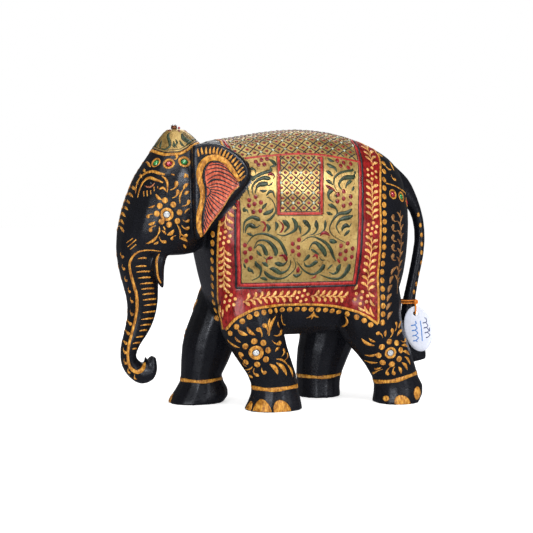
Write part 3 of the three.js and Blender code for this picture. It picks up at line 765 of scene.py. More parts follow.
GREEN_SCROLLS = [
    # lower front scroll
    (2.2, [(-38.5, 119.5, .2), (-34.5, 125.1, .35), (-30.1, 127.3, .6), (-24.7, 127.3, .8),
        (-18.9, 124.9, .9), (-14.5, 121.7, .9), (-11.5, 116.6, 1), (-9.5, 111.8, .8)]),
    (3.2, [(-33, 117.6, .15), (-30.1, 122.5, .3), (-24.7, 122.8, .45), (-20.4, 119.9, .8),
        (-17.5, 115.2, 1), (-17.7, 112, .5)]),
    (3.0, [(-32.7, 117, .15), (-30.1, 119.8, .3), (-26.9, 118.9, .7), (-24.7, 114.6, 1),
        (-23.9, 112.2, .4)]),
    (1.8, [(-31, 116, .4), (-29.6, 113.6, 1), (-27.3, 111.8, .3)]),
    (2.8, [(-31.7, 108.4, .3), (-30.8, 105.8, 1), (-28.2, 103.6, .8), (-27.6, 100.9, .5),
        (-28.8, 97.2, .35), (-33.5, 94.6, .2)]),
    (1.4, [(-39.6, 107, .4), (-39.1, 105, 1), (-38.2, 103.4, .4)]),
    (2.6, [(-36.4, 104.2, .3), (-35.8, 102.2, 1), (-33.8, 101.4, .6), (-32.8, 99.4, .2)]),
    (2.4, [(-27.8, 96.4, .3), (-25, 95.9, 1), (-22.6, 94.8, .4)]),
    (2.6, [(-24.8, 101.2, .4), (-23.8, 99.4, .9), (-20.4, 96.9, 1), (-14.7, 95.6, .6), (-9.2, 96.7, .35),
        (-3.9, 101.2, .25), (-2.4, 105.5, .22), (-4.9, 110.7, .12)]),
    (3.2, [(-21.6, 102.9, .2), (-18.8, 102.6, .9), (-15.6, 100.7, 1), (-13.1, 99.7, .7), (-8.9, 101.3, .35),
        (-6.4, 105.6, .25), (-6.7, 108.9, .15)]),
    (3.2, [(-18, 106.8, .3), (-15.5, 106.2, 1), (-12.4, 105.6, .7), (-9.8, 107, .3), (-8.5, 109, .12)]),
    (2.6, [(-27, 107.4, .3), (-24.8, 106.2, 1), (-22.6, 104.4, .4)]),
    (0.9, [(-25.9, 111, .4), (-23.8, 109.4, .8)]),
    # between the scrolls
    (2.4, [(-17.8, 136, .3), (-16.6, 133.4, 1), (-17.8, 129.6, .2)]),
    (2.4, [(-24, 134.4, .5), (-22.4, 131.8, 1), (-23.2, 128.8, .2)]),
    (3.4, [(-12.6, 136.9, .3), (-10.4, 135.2, 1), (-8.4, 132.2, .6), (-11.5, 128.4, .2)]),
    (2.8, [(-5.6, 138.6, .4), (-3, 134.8, 1), (-2.9, 130.9, .9), (-6.3, 128.2, .5), (-11.9, 126.2, .35),
        (-16.8, 127.2, .15)]),
    (3.2, [(2.4, 136.8, .3), (4.6, 135.2, 1), (7.4, 131.4, .6), (5, 127.6, .4), (0.9, 125.4, .15)]),
    (3.0, [(12.4, 136.8, .3), (12.6, 133.6, 1), (13.2, 130.4, .5), (10.6, 127.2, .3), (7, 126.2, .12)]),
    (2.2, [(19.3, 136.8, .3), (19.4, 134, .9), (18.8, 130.3, .5), (15.6, 127.5, .35), (10.9, 125.9, .15)]),
    (2.0, [(-0.8, 133.2, .4), (0.3, 131.2, 1), (0.7, 127.4, .2)]),
    # upper front column
    (2.6, [(-18.4, 180, .3), (-15.6, 178, 1), (-14.9, 175.6, .7), (-18.2, 174.4, .4), (-18.2, 172.3, .8),
        (-20, 171.3, .9), (-24, 170.2, .9), (-29.4, 167.8, .9), (-33, 164.8, .8), (-35.8, 161.6, .6),
        (-36.3, 157.5, .35), (-35.2, 153.6, .15)]),
    (3.0, [(-19.4, 166.4, .5), (-21.5, 166.4, 1), (-25, 166.6, .9), (-29.6, 164.4, .6), (-33, 160.4, .35),
        (-33, 155, .15)]),
    (3.6, [(-21.6, 162.8, .6), (-24.4, 162.4, 1), (-27.4, 162, .9), (-29.8, 160.2, .5),
        (-31.3, 155.8, .15)]),
    (1.1, [(-21.8, 161.2, .5), (-19.6, 162, 1), (-18, 164, .3)]),
    (1.9, [(-27.8, 157.8, .4), (-25.2, 157.4, 1), (-22.8, 158, .4)]),
    (2.0, [(-23.3, 153, .3), (-20.4, 152.2, .3), (-17.9, 147.9, .35), (-17.4, 142.9, .5),
        (-21.1, 138.2, .9), (-24, 136.6, .4)]),
    (2.4, [(-23.5, 154.2, .2), (-21, 157, .9), (-18.6, 156.6, .6), (-17.8, 153.4, .2)]),
    (2.2, [(-27, 144.6, .3), (-25.4, 146.8, 1), (-23.4, 149, .3)]),
    (2.8, [(-26.2, 141.2, .5), (-23.4, 142.2, 1), (-20.4, 143.4, .8), (-19, 145.4, .2)]),
    (2.4, [(-39.4, 146.2, .3), (-39.6, 144, 1), (-37.6, 144.2, .5), (-36.8, 141.8, .2)]),
    (2.4, [(-34.4, 174.2, .3), (-32.6, 173.4, 1), (-30, 172.4, .5), (-29.6, 169.4, .15)]),
    (1.6, [(-33.4, 167.6, .4), (-31.8, 167.4, 1), (-30.6, 168.2, .3)]),
    (1.6, [(-37.2, 177, .4), (-36.4, 175.4, 1), (-36, 173, .2)]),
    (2.8, [(-28.8, 136.8, .4), (-30.4, 138, 1), (-34.3, 139.2, .8), (-38.8, 136.6, .5), (-40.2, 132.4, .3),
        (-40.3, 128, .15)]),
    (3.0, [(-28.4, 133.8, .2), (-31.2, 132, .35), (-33.4, 132.8, 1), (-36, 133.8, .9), (-38.2, 132, .6),
        (-39.2, 128, .15)]),
    (2.0, [(-38, 127.8, .3), (-35.8, 127.2, 1), (-33.4, 126, .4)]),
    # upper rear column
    (2.0, [(44.6, 173.6, .3), (43.6, 172.2, .9), (38.7, 171.6, .8), (32.8, 170, .8), (28.6, 166.4, .6),
        (27.8, 162.2, .4), (28.8, 158.8, .25), (31, 156, .12)]),
    (3.2, [(44.8, 169.2, .3), (43.6, 167.4, 1), (38, 167, 1), (33.8, 165.3, .6), (31.7, 161.8, .4),
        (33.4, 158.4, .2)]),
    (2.6, [(42.4, 164.8, .3), (40.4, 164, 1), (37.9, 162, .6), (36.6, 159.4, .2)]),
    (1.9, [(43.6, 160.8, .3), (42.6, 159.2, 1), (41.2, 157.2, .3)]),
    (1.4, [(46.2, 171.8, .3), (45.8, 170.6, 1), (45, 169.2, .4)]),
    (2.2, [(26, 181, .3), (27.8, 179.4, 1), (30.8, 178.6, .3)]),
    (3.0, [(24.6, 177, .3), (26.8, 175.4, 1), (30.2, 173.8, .6), (31, 170.8, .2)]),
    (2.6, [(22.8, 171.4, .3), (25, 170.6, 1), (27.6, 168, .25)]),
    (2.6, [(21.8, 165, .3), (24, 164.2, 1), (27, 161.8, .25)]),
    (3.4, [(26.8, 158.2, .6), (24.6, 157.6, 1), (22.6, 154.8, .6), (23.2, 151.6, .35), (26.2, 149.4, .15)]),
    (1.4, [(27.4, 154.8, .4), (29.2, 153, .9)]),
    (2.8, [(22.2, 148, .3), (24.6, 147, 1), (27.6, 145.2, .5), (28.8, 142.2, .4), (27.4, 139, .2)]),
    (2.4, [(20.6, 142.4, .4), (22.6, 141.4, 1), (25, 140.6, .3)]),
    (2.6, [(40.6, 144.6, .2), (38.6, 143.2, .9), (35.7, 141.8, 1), (30.1, 141.2, .8), (26, 137.8, .6),
        (23.4, 133.6, .35), (22.7, 130.4, .3), (23.6, 127.6, .25), (27.1, 124.4, .2), (34.7, 120.6, .15)]),
    (3.2, [(41, 140, .3), (38, 138.6, .9), (34.4, 138, 1), (30.6, 136.6, .6), (28.2, 133.4, .4),
        (28, 131.2, .3), (30.3, 126.9, .15)]),
    (3.0, [(39.6, 134.4, .2), (37.8, 132, .4), (35.4, 132.9, 1), (32.8, 131, .7), (32.2, 128.6, .2)]),
    (2.2, [(38.2, 129.4, .4), (36.2, 127.6, 1), (33.8, 125.3, .3)]),
    # lower rear scroll
    (2.4, [(1.2, 121.4, .15), (6.2, 124.5, .3), (10.8, 125, .4), (15.8, 122.9, .7), (20.5, 119.9, .9),
        (23.6, 115.7, 1), (25.4, 111.6, .8), (28, 107.3, .25)]),
    (3.6, [(6.9, 115.6, .15), (9.2, 120, .3), (11.9, 120.8, .6), (15, 118.7, .9), (18.2, 115, 1),
        (19.9, 111, .5)]),
    (1.8, [(8.4, 116.4, .4), (11, 114.8, 1), (14.6, 112.4, .4)]),
    (3.4, [(22.6, 122.2, .6), (25.2, 121.6, 1), (28.2, 120.8, .3)]),
    (2.4, [(7.6, 112.4, .5), (6.3, 110.8, 1), (3.3, 107.8, .25)]),
    (2.8, [(14, 107.4, .5), (12.1, 106.6, 1), (8.6, 104.4, .7), (5.2, 104.4, .5), (3.7, 107, .15)]),
    (3.0, [(-1.9, 107.8, .12), (3, 102, .35), (7.4, 99.1, .45), (11, 98.3, .5), (14.8, 99.7, .7),
        (18, 102.6, 1), (19, 105.2, .7)]),
    (1.0, [(15.2, 110.4, .3), (17, 108.4, .9), (19.8, 108.4, .3)]),
    (1.4, [(25.6, 105, .3), (23.8, 103.4, 1), (21.7, 101.4, .3)]),
    (3.2, [(31.8, 105, .3), (30.4, 102.6, 1), (29.4, 99.6, .7), (26.4, 98.2, .4), (23, 99.6, .15)]),
    (3.4, [(38.8, 105, .6), (37.9, 101.6, 1), (35.6, 97.7, .8), (32.6, 95.3, .6), (29, 94.6, .5),
        (23, 95.4, .35), (16, 98, .12)]),
    (2.4, [(-4, 98.4, .3), (-1.6, 97.3, 1), (1.6, 98.6, .4), (2.2, 100.8, .2)]),
]
RED_SCROLLS = [
    (2.6, [(-15.2, 111.8, .15), (-11.8, 112.2, .8), (-9.9, 110, 1), (-9.8, 108.2, .3)]),
    (2.4, [(-19.4, 110.8, .5), (-21.6, 110.6, 1), (-23.8, 109.2, .4), (-23.3, 106.4, .15)]),
    (1.7, [(-28, 136, .3), (-26.1, 135.6, .9), (-24.8, 133, .6), (-26, 130, .9), (-26.8, 129.2, .3)]),
    (1.6, [(-15.6, 137, .2), (-13, 134.6, .6), (-12.2, 132, .8), (-13.4, 129.2, .7), (-14.8, 128.2, .3)]),
    (2.4, [(-21, 168.6, .3), (-18.8, 169.6, 1), (-16.4, 168.2, .4), (-17.4, 166, .2)]),
    (2.4, [(21.2, 162, .2), (23.4, 160.2, 1), (26.4, 158.8, .5), (29.2, 155.8, .15)]),
    (2.0, [(9.8, 110.6, .2), (12.6, 112, .9), (13.7, 109.2, .3)]),
    (1.8, [(29, 108.9, .3), (30.2, 107.6, 1), (31.2, 105.8, .3)]),
    (2.4, [(15.4, 125.6, .2), (17.4, 127.6, .9), (20, 127.6, 1), (22.8, 125.6, .2)]),
    (2.6, [(-0.4, 104, .2), (-0.6, 101.8, 1), (-0.9, 99.8, .6)]),
    (1.3, [(13.5, 98, .4), (12.6, 96.3, .9), (9.4, 95.3, .2)]),
]
BERRIES = [
    (-28.2, 178.1), (-23.9, 179.4), (-19.7, 180.1), (-26.6, 175.9), (-22.4, 176.1), (-31.1, 153.5),
    (-35.7, 151.2), (-27.6, 149.5), (-32.2, 148.5), (-36.2, 147.3), (-28.2, 143.7), (-33.1, 143),
    (-39.3, 119.7), (-35.7, 117), (-39.1, 114.5), (-34.9, 110.9), (-38.1, 108.6), (-0.6, 123.1),
    (-5.1, 120.3), (-1, 117.7), (-5.1, 115.2), (-0.5, 112.6), (33.3, 179.1), (38.1, 177.7), (43.7, 176.9),
    (35.2, 175.5), (41, 174.2), (34.3, 152), (34.8, 157.1), (30, 154.9), (39.9, 153.5), (29.3, 150),
    (34, 146.9), (39.4, 148.2), (36.7, 120), (31.5, 118.3), (40.6, 116.2), (35.4, 114.5), (31.1, 112.4),
    (40.3, 110.2), (35.3, 108.8),
]
BERRY_WIDE, BERRY_TALL = 3.036, 3.3

LATTICE_FRONT = [(141, -15.4), (161, -14.1), (182, -11.1)]
LATTICE_REAR = [(141, 16.6), (161, 18), (182, 21.3)]
LATTICE_FLOOR_Z = 142.0
LATTICE_LINE, FRAME_LINE = 0.85, 1.9


def ridge_z(y):
    return follow(RIDGE_LINE, y)


def lattice(at, u_range, v_range, cell_u, cell_v, outside):
    """Crossing diagonals with a red spot in every diamond and a pale one on the crossings."""
    (u0, u1), (v0, v1) = u_range, v_range
    rise = 1.5
    reach = (v1 - v0) / cell_v
    count = int((u1 - u0) / cell_u + reach) + 2
    for lean in (1, -1):
        for k in range(-int(reach) - 2, count):
            line = []
            for j in range(int((v1 - v0) / rise) + 1):
                v = v0 + j * rise
                u = u0 + (k + 0.5) * cell_u + lean * (v - v0) / cell_v * cell_u
                if u0 - 1 <= u <= u1 + 1:
                    line.append((u, v))
            if len(line) > 1:
                thin_black.stroke(at, line, LATTICE_LINE, step=1.6, base=FIELD, skip=outside)
    for i in range(int((u1 - u0) / cell_u * 2) + 2):
        for j in range(int((v1 - v0) / cell_v * 2) + 2):
            u, v = u0 + i * cell_u / 2, v0 + j * cell_v / 2
            if (i + j) % 2 == 0:
                lattice_red.dot(at, u, v, 2.5, 2.2, base=FIELD, skip=outside, sides=10)
            elif j % 2 == 0 or i % 4 == 1:
                mint.dot(at, u, v, 1.9, base=FIELD + 0.1, skip=outside, sides=8)


def scrollwork(on_side):
    """Green leaves, red leaves and berries over the gold field."""
    for width, points in GREEN_SCROLLS:
        green.stroke(on_side, points, width * 1.05, base=FIELD, skip=hidden, step=0.7)
    for width, points in RED_SCROLLS:
        berry.stroke(on_side, points, width, base=FIELD, skip=hidden, step=0.7)
    for y, z in BERRIES:
        berry.dot(on_side, y, z, BERRY_WIDE, BERRY_TALL, base=FIELD, skip=hidden)


def off_panel(p):
    """True outside the lattice panel of a flank."""
    return not (follow(LATTICE_FRONT, p.z) + 0.6 < p.y < follow(LATTICE_REAR, p.z) - 0.6
                and LATTICE_FLOOR_Z + 1 < p.z < ridge_z(p.y) - 0.6)


def off_saddle(p):
    """True outside the lattice over the back."""
    front, rear = follow(PANEL_FRONT, p.z) + 0.5, follow(PANEL_REAR, p.z) - 0.5
    return not front < p.y < rear or p.z < ridge_z(p.y) + 0.9 or hidden(p)


def lattice_panel(on_side):
    """The lattice of one flank and the red frame round it."""
    lattice(on_side, (-16, 23), (142, 185), 7.8, 7.1, off_panel)
    for table, gap in ((LATTICE_FRONT, 1), (LATTICE_REAR, -1)):
        lattice_frame.stroke(on_side, [(y, z) for z, y in table], FRAME_LINE, base=FIELD)
        thin_black.stroke(on_side, [(y + gap * 1.5, z) for z, y in table], 0.6, base=FIELD)
        thin_black.stroke(on_side, [(y - gap * 1.4, z) for z, y in table], 0.5, base=FIELD)
    foot = [(y, LATTICE_FLOOR_Z - 0.4) for y in np.linspace(-16.2, 17.4, 8)]
    lattice_frame.stroke(on_side, foot, FRAME_LINE, base=FIELD)
    thin_black.stroke(on_side, [(y, z + 1.5) for y, z in foot[1:-1]], 0.6, base=FIELD)
    thin_black.stroke(on_side, [(y, z - 1.4) for y, z in foot], 0.5, base=FIELD)


green, berry = Paint("scroll_leaves", 0.25), Paint("berries", 0.35)
mint, thin_black = Paint("lattice_crossings", 0.3), Paint("lattice_lines", 0.2)
lattice_red, lattice_frame = Paint("lattice_spots", 0.25), Paint("lattice_frame", 0.26)
for sign in (1, -1):
    scrollwork(side(sign))
    lattice_panel(side(sign))
lattice(saddle(1), (-46, 55), (-49.2, 49.2), 9.2, 8.2, off_saddle)
lay((green, GREEN, "green_paint"), (berry, BERRY, "berry_paint"), (lattice_red, BERRY, "berry_paint"),
    (lattice_frame, RED_LINE, "red_paint"), (mint, MINT, "pale_paint"),
    (thin_black, BLACK, "black_lacquer_wood"))


# ---------------------------------------------------------------- garlands in the crimson border

PETAL = 2.5         # width of a rosette's petal
ROSETTE_GAP = 6.4   # bare stem on each side of a rosette
garlands = Paint("border_garlands", 0.28)


def rosette(at, u, v, radius, skip=None):
    """A dot with six round petals."""
    garlands.dot(at, u, v, PETAL * 0.95, base=FIELD, skip=skip)
    for a in circle(6):
        a += 0.3
        garlands.dot(at, u + radius * math.cos(a), v + radius * math.sin(a), PETAL, base=FIELD, skip=skip)


def garland_leaf(at, here, along, hand, half_width):
    """One leaf swept forward from the stem, on the side that hand says."""
    across = np.array([-along[1], along[0]])
    root = here + along * (1.2 * hand) + across * hand * 0.5
    tip = root + along * 3.4 + across * hand * (half_width - 1.6)
    points = []
    for s, w in ((0, .2), (.3, .45), (.62, 1.0), (.85, .85), (1, .25)):
        sway = math.sin(math.pi * s) * 0.9
        p = root + (tip - root) * s - across * hand * sway + along * sway * 0.4
        points.append((p[0], p[1], w))
    garlands.stroke(at, points, 2.25, base=FIELD, skip=hidden, step=0.7)


def garland(at, path, half_width, blossoms, pitch=4.9):
    """A stem along path with leaves swept forward on both sides, broken by rosettes."""
    line = spline(path, 1.0)
    lengths = [0.0]
    for a, b in zip(line, line[1:]):
        lengths.append(lengths[-1] + float(np.linalg.norm((b - a)[:2])))
    total = lengths[-1]

    def spot(d):
        return np.array([np.interp(d, lengths, [p[axis] for p in line]) for axis in (0, 1)])

    gaps = [share * total for share in blossoms]
    edges = [0.0] + gaps + [total]
    for gap in gaps:
        rosette(at, *spot(gap), 4.1, hidden)
    for a, b in zip(edges, edges[1:]):
        start = a + (ROSETTE_GAP if a in gaps else 1.5)
        end = b - (ROSETTE_GAP if b in gaps else 1.5)
        if end - start < pitch:
            continue
        stem = [(*spot(start + (end - start) * k / 8), 0.4 + 0.6 * k / 8) for k in range(9)]
        garlands.stroke(at, stem, 0.9, base=FIELD, skip=hidden)
        n = int((end - start) / pitch)
        for k in range(n + 1):
            d = start + (end - start) * (k + 0.2) / (n + 1)
            here, ahead = spot(d), spot(min(d + 1, total))
            along = (ahead - here) / (np.linalg.norm(ahead - here) or 1)
            for hand in (1, -1):
                garland_leaf(at, here, along, hand, half_width)


def front_garland(sign):
    """Down the front strip, with a rosette and three leaves at its foot."""
    front = slant(sign, GARLAND_TURN)
    path = [(strip_middle(z, sign), z) for z in (188, 176, 164, 152, 140, 128, 116, 104, 94, 86)]
    garland(front, path, 6.4, (0.62,), pitch=5.2)
    rosette(slant(sign, STRIP_TURN), strip_edge(80.4, sign) + 9.2, 80.4, 4.0)
    for u, z, tu, tz in ((-14.6, 76.5, -12.6, 71.5), (-10.2, 74, -10.6, 68), (-7, 77, -6.4, 72.5)):
        garlands.leaf(front, (u, z), (tu, tz), 2.0, base=FIELD)


def lower_garland(on_side):
    """Along the border under the gold field."""
    path = [(y, (lower_z(y) + 88.3) / 2 + 0.4) for y in (-41.5, -37, -28, -18, -6, 6, 18, 30, 40)]
    garland(on_side, path, 5.4, (0.57,))


def rear_garland(on_side):
    """Up the rear border, with a rosette and leaves in the corner."""
    path = [((follow(REAR_EDGE, z) + follow(PANEL_REAR, z) + 4.8) / 2, z)
            for z in (84, 100, 120, 140, 155, 168, 178, 188, 194)]
    garland(on_side, path, 6.4, (0.42, 0.78))
    rosette(on_side, 49.6, 80.2, 4.4)
    for y0, z0, y1, z1 in ((47.2, 74, 52.4, 70.8), (51.4, 74.2, 56, 68), (55.4, 73.6, 58.6, 66.4),
                           (55.6, 79, 59, 74), (55, 84.4, 59.2, 81), (44.2, 86, 46.6, 90)):
        garlands.leaf(on_side, (y0, z0), (y1, z1), 2.0, bend=0.15, base=FIELD)


for sign in (1, -1):
    front_garland(sign)
    lower_garland(side(sign))
    rear_garland(side(sign))
garlands.piece(PALE_GOLD, "pale_paint")

# ---------------------------------------------------------------- gold dots and sprays on the black

gold, old_gold = Paint("gold_sprays", 0.26), Paint("rump_vines", 0.24)


def below_edge(offset, pitch):
    """Places spaced evenly along a line that runs below the blanket's lower edge."""
    places, gone, last = [], pitch, None
    for y in np.linspace(-50, 58.6, 600):
        slope = (lower_z(y + 2) - lower_z(y - 2)) / 4
        step = math.hypot(1, slope)
        here = Vector((y + offset * slope / step, lower_z(y) - offset / step))
        if last is not None:
            gone += (here - last).length
        last = here
        if gone >= pitch:
            places.append(here)
            gone = 0.0
    return places


def edge_dots(sign):
    """Rows of dots in front of, behind and below the blanket."""
    z = 146.0
    while z > (61 if sign > 0 else 118):
        wide = 4.2 + max(0.0, 112 - z) * 0.03
        gold.dot(slant(sign, STRIP_TURN), strip_edge(z, sign) - 4.1, z, wide, 4.7, skip=hidden)
        z -= 6.3
    z = 190.0
    while z > 58:
        gold.dot(side(sign), follow(REAR_EDGE, z) + 3.6, z, 3.9, 4.4)
        z -= 6.1
    for place in below_edge(3.4, 5.5):
        gold.dot(side(sign), place.x, place.y, 4.1, 4.0)


def blossom(at, y, z):
    """Eight petals of dots round an inlaid stone's ring."""
    for a in circle(8):
        a += 0.2
        gold.dot(at, y + 8.7 * math.cos(a), z + 8.7 * math.sin(a), 4.3, 4.6, turn=a)


# (kind, root y, root z, tip y, tip z, width)
SHOULDER_SPRAY = [
    ("leaf", -37.5, 56.4, -43.8, 60.2, 2.8), ("leaf", -32.2, 56.2, -38.1, 62.2, 2.6),
    ("comma", -27.6, 54.7, -30.6, 60.6, 3.4), ("comma", -23.2, 56.6, -26, 63.4, 3.4),
    ("leaf", -20.4, 59.2, -20.9, 67.6, 2.2), ("leaf", -22, 55.3, -15.2, 68.8, 2.4),
    ("leaf", -12.5, 60.4, -13.5, 64.6, 1.6), ("comma", -18, 55.4, -10.2, 57.6, 3.0),
    ("comma", -19.4, 51.8, -12, 49.6, 3.0), ("leaf", -16.9, 43.8, -13, 46.6, 1.8),
    ("comma", -11.4, 40, -8.8, 44.6, 2.6), ("comma", -8.6, 37.2, -5, 41, 2.0),
    ("leaf", -16, 38.4, -6.4, 33.4, 1.6), ("leaf", -6.4, 33.4, -1.6, 24, 2.2),
    ("leaf", -16, 35.7, -7.4, 25.8, 3.0), ("leaf", -20.9, 34.9, -14.6, 27.2, 3.2),
    ("comma", -26.2, 32.3, -23.4, 28.4, 3.2), ("comma", -30.6, 31.6, -27.6, 26.2, 3.0),
    ("comma", -32, 28.9, -29.8, 24.4, 2.4), ("leaf", -31.9, 32.9, -34.2, 29.4, 1.2),
    ("leaf", -34.4, 32.4, -37, 35.6, 1.2), ("leaf", -38, 37.9, -40, 42.2, 1.6),
    ("leaf", -41.5, 46.8, -48, 52.4, 2.0), ("leaf", -41.4, 50.9, -45, 54.8, 1.8),
]
HIP_SPRAY = [
    ("leaf", 60.2, 44.9, 51, 50.2, 2.6), ("leaf", 60.4, 47.8, 55.6, 50.6, 1.8),
    ("comma", 65.6, 50.8, 61, 54.2, 2.8), ("comma", 71.4, 50.4, 73.4, 56.4, 3.0),
    ("leaf", 67.6, 51.4, 68.2, 56.2, 2.2), ("leaf", 63.2, 38.4, 56.6, 37, 2.0),
    ("leaf", 64.8, 31.6, 58.6, 32.4, 1.8), ("leaf", 68, 28, 61.4, 25.6, 1.8),
    ("comma", 69, 26.6, 66, 20.6, 2.4), ("comma", 73.6, 28.4, 72.6, 22.6, 2.8),
    ("comma", 77, 28.6, 77, 22.8, 2.8), ("leaf", 79.6, 28.4, 82.2, 22.8, 2.4),
    ("leaf", 82.4, 31.4, 87.4, 25.6, 2.4), ("leaf", 85, 35.6, 90.6, 29, 2.2),
    ("leaf", 83.4, 39.6, 90.4, 36.2, 2.4), ("leaf", 82.4, 44, 89.4, 42, 2.2),
    ("comma", 82, 47.6, 88.4, 47.6, 2.4), ("leaf", 78, 51.2, 84.6, 55.4, 2.2),
    ("leaf", 80, 56.4, 84.6, 61.6, 1.8), ("comma", 76, 55, 77.4, 61, 2.4),
]


def spray(at, marks, shift=0.0):
    """Leaves and commas laid from a table, moved along the flank by shift."""
    for kind, y0, z0, y1, z1, width in marks:
        root, tip = (y0 + shift, z0), (y1 + shift, z1)
        if kind == "leaf":
            gold.leaf(at, tip, root, width, bend=0.12)
        else:
            gold.comma(at, tip, root, width, bend=0.2)


def left_medallions(on_side):
    blossom(on_side, -31.1, 43.3)
    spray(on_side, SHOULDER_SPRAY)
    blossom(on_side, 72.8, 39)
    spray(on_side, HIP_SPRAY)


def right_medallions(on_side):
    """The same sprays where the right legs stand, kept off their edges."""
    blossom(on_side, -48.2, 43.3)
    spray(on_side, [m for m in SHOULDER_SPRAY if m[4] < 58 and m[1] < -10], -17.0)
    blossom(on_side, 48.8, 39)
    spray(on_side, [m for m in HIP_SPRAY if m[4] < 56], -24.0)


for sign in (1, -1):
    edge_dots(sign)
left_medallions(side(1))
right_medallions(side(-1))

# Each leg: x, axis foot, axis knee, band height, band width. The band of the left hind leg tilts.
LEGS = [
    (24.5, (-11.5, 0), (-20, 40), 16.5, 3.2), (-24.5, (-55.5, 0), (-47, 40), 17.5, 2.8),
    (24.5, (86, 0), (76, 40), 0, 3.2), (-24.5, (42.5, 0), (47, 40), 16.2, 2.8),
]
TILTED_BAND_Z = 19.0
gold_nails = Paint("toenails", 0.5)


def ankle_band(at, band, width):
    """A hand-painted ring round the ankle, a little uneven."""
    sway = 0.4 if band else 3.4
    ring = []
    for degrees in range(0, 360, 20):
        a = math.radians(degrees)
        level = (band or TILTED_BAND_Z) - sway * math.cos(a) + 0.35 * math.sin(a * 3.4)
        ring.append((degrees, level, 0.85 + 0.15 * math.sin(a * 5)))
    gold.stroke(at, ring + [(360, *ring[0][1:])], width, step=6.0)


def toenail(at, angle, wide, tall):
    """A half-round nail standing on the sole's edge."""
    foot_z, steps = 0.6, 32
    loops = []
    for share, height in ((1.0, -0.3), (1.0, 0.5), (0.92, 0.95), (0.5, 1.1), (0.04, 1.15)):
        loop = []
        for k in range(steps + 1):
            a = math.pi * k / steps
            point, normal = at(angle + wide * share * math.cos(a), foot_z + tall * share * math.sin(a))
            loop.append(len(gold_nails.vertices))
            gold_nails.vertices.append(point + normal * gold_nails.lift * height)
        loops.append(loop)
    bridge(gold_nails.faces, loops, closed=False)


def toenails(at, out, level):
    """Nails of one foot; the left hind foot shows its own, wider apart."""
    if level:
        toenail(at, 8 * out, 11, 6.0)
        toenail(at, 45 * out, 21, 8.6)
        toenail(at, 91 * out, 21, 8.2)
    else:
        gold_nails.dot(at, 42 * out, 4.4, 5.4, 4.4, sides=8)
        toenail(at, 82 * out, 20, 6.6)
        gold_nails.dot(at, 128 * out, 7.6, 8.0, 10.0, base=-0.1, sides=20)


for x, foot, knee, band, width in LEGS:
    ankle_band(leaned(x, foot, knee), band, width)
    toenails(leaned(x, foot, knee), 1 if x > 0 else -1, band)


def left_belly(on_side):
    """The trident between the left legs."""
    gold.leaf(on_side, (16, 64.2), (15.9, 70.6), 1.8)
    gold.leaf(on_side, (11.4, 65.6), (15.4, 69.4), 1.6, bend=0.2)
    gold.leaf(on_side, (21.4, 66), (16.4, 69.6), 1.6, bend=-0.2)


def rump(on_side):
    """Creases beside the legs, the rump's curls and the climbing vine."""
    gold.leaf(on_side, (-8.6, 69), (-2.6, 60.4), 1.8, bend=0.25)
    gold.leaf(on_side, (40.2, 66.4), (39.4, 57), 1.8, bend=-0.2)
    gold.stroke(on_side, [(71.8, 163), (79, 161.4), (86, 158.8), (94, 155.6), (101, 152.4)], 0.9)
    gold.comma(on_side, (82.6, 165.6), (79, 169.4), 2.4)
    gold.leaf(on_side, (75.4, 176.4), (81, 173), 1.8, bend=0.2)
    gold.leaf(on_side, (83.8, 172.2), (83, 179), 1.8)
    for y, z in ((77.6, 138.4), (77.4, 131.2), (77.4, 123.8), (77.4, 116.8), (77.6, 109.8)):
        old_gold.comma(on_side, (y - 2.2, z + 1.0), (y + 1.8, z - 3.2), 3.4, bend=-0.35)
    for y, z in ((77.2, 98.4), (75, 92.2), (72.6, 85.9), (71.2, 79.6), (70.6, 73.2), (71.4, 66.6)):
        old_gold.leaf(on_side, (y + 2.6, z + 2.8), (y - 2.2, z - 2.6), 2.6, bend=0.15)
    vine = [(83.6, 143, .5), (83, 132, 1), (83.8, 120, 1), (83, 107, 1), (82.6, 94, .8), (79.6, 82, .4)]
    old_gold.stroke(on_side, vine, 0.7)
    for k in range(8):
        z = 139 - k * 6.6
        y = 83.2 - max(0.0, 104 - z) * 0.1
        old_gold.leaf(on_side, (y - 3.6, z + 3), (y - 0.4, z - 1.6), 1.7, bend=-0.15)
        old_gold.leaf(on_side, (y + 3.6, z + 0.6), (y + 0.5, z - 4), 1.8, bend=0.15)


# Strokes of the head and the trunk: (width, points) as on the gold field.
BROW_LINES = [
    (2.0, [(-110.2, 155.7, .4), (-108.9, 161.3, .6), (-106.2, 166.9, .8), (-102.7, 170.2, 1),
        (-99, 171.2, 1), (-95.9, 169.9, 1), (-92.3, 169, .6)]),
    (1.6, [(-94.4, 168, .4), (-92, 165.5, 1), (-91.2, 161.3, .8), (-91.9, 156.5, .3)]),
    (1.9, [(-109.7, 152.9, .3), (-107.9, 158.5, .7), (-105.2, 164.1, 1), (-101.9, 166.7, 1),
        (-98.8, 165.7, 1), (-94.1, 163.4, .4)]),
    (1.6, [(-96.9, 158.8, .5), (-94.4, 159.8, 1), (-92.2, 157.2, .3)]),
]
# Lashes: y, z and height.
LASHES = [
    (-106, 155.6, 3.6), (-104.1, 155.9, 4), (-102.1, 156.6, 2.6), (-99.8, 159, 3.2), (-97.6, 160, 1.6),
]
CHEEK_DOTS = [
    (-93.6, 151.1), (-88, 148.2), (-83.6, 142.7), (-85.1, 136.7), (-90.9, 134.3), (-96.1, 136.4),
    (-99.2, 141.9), (-97.2, 147.3),
]
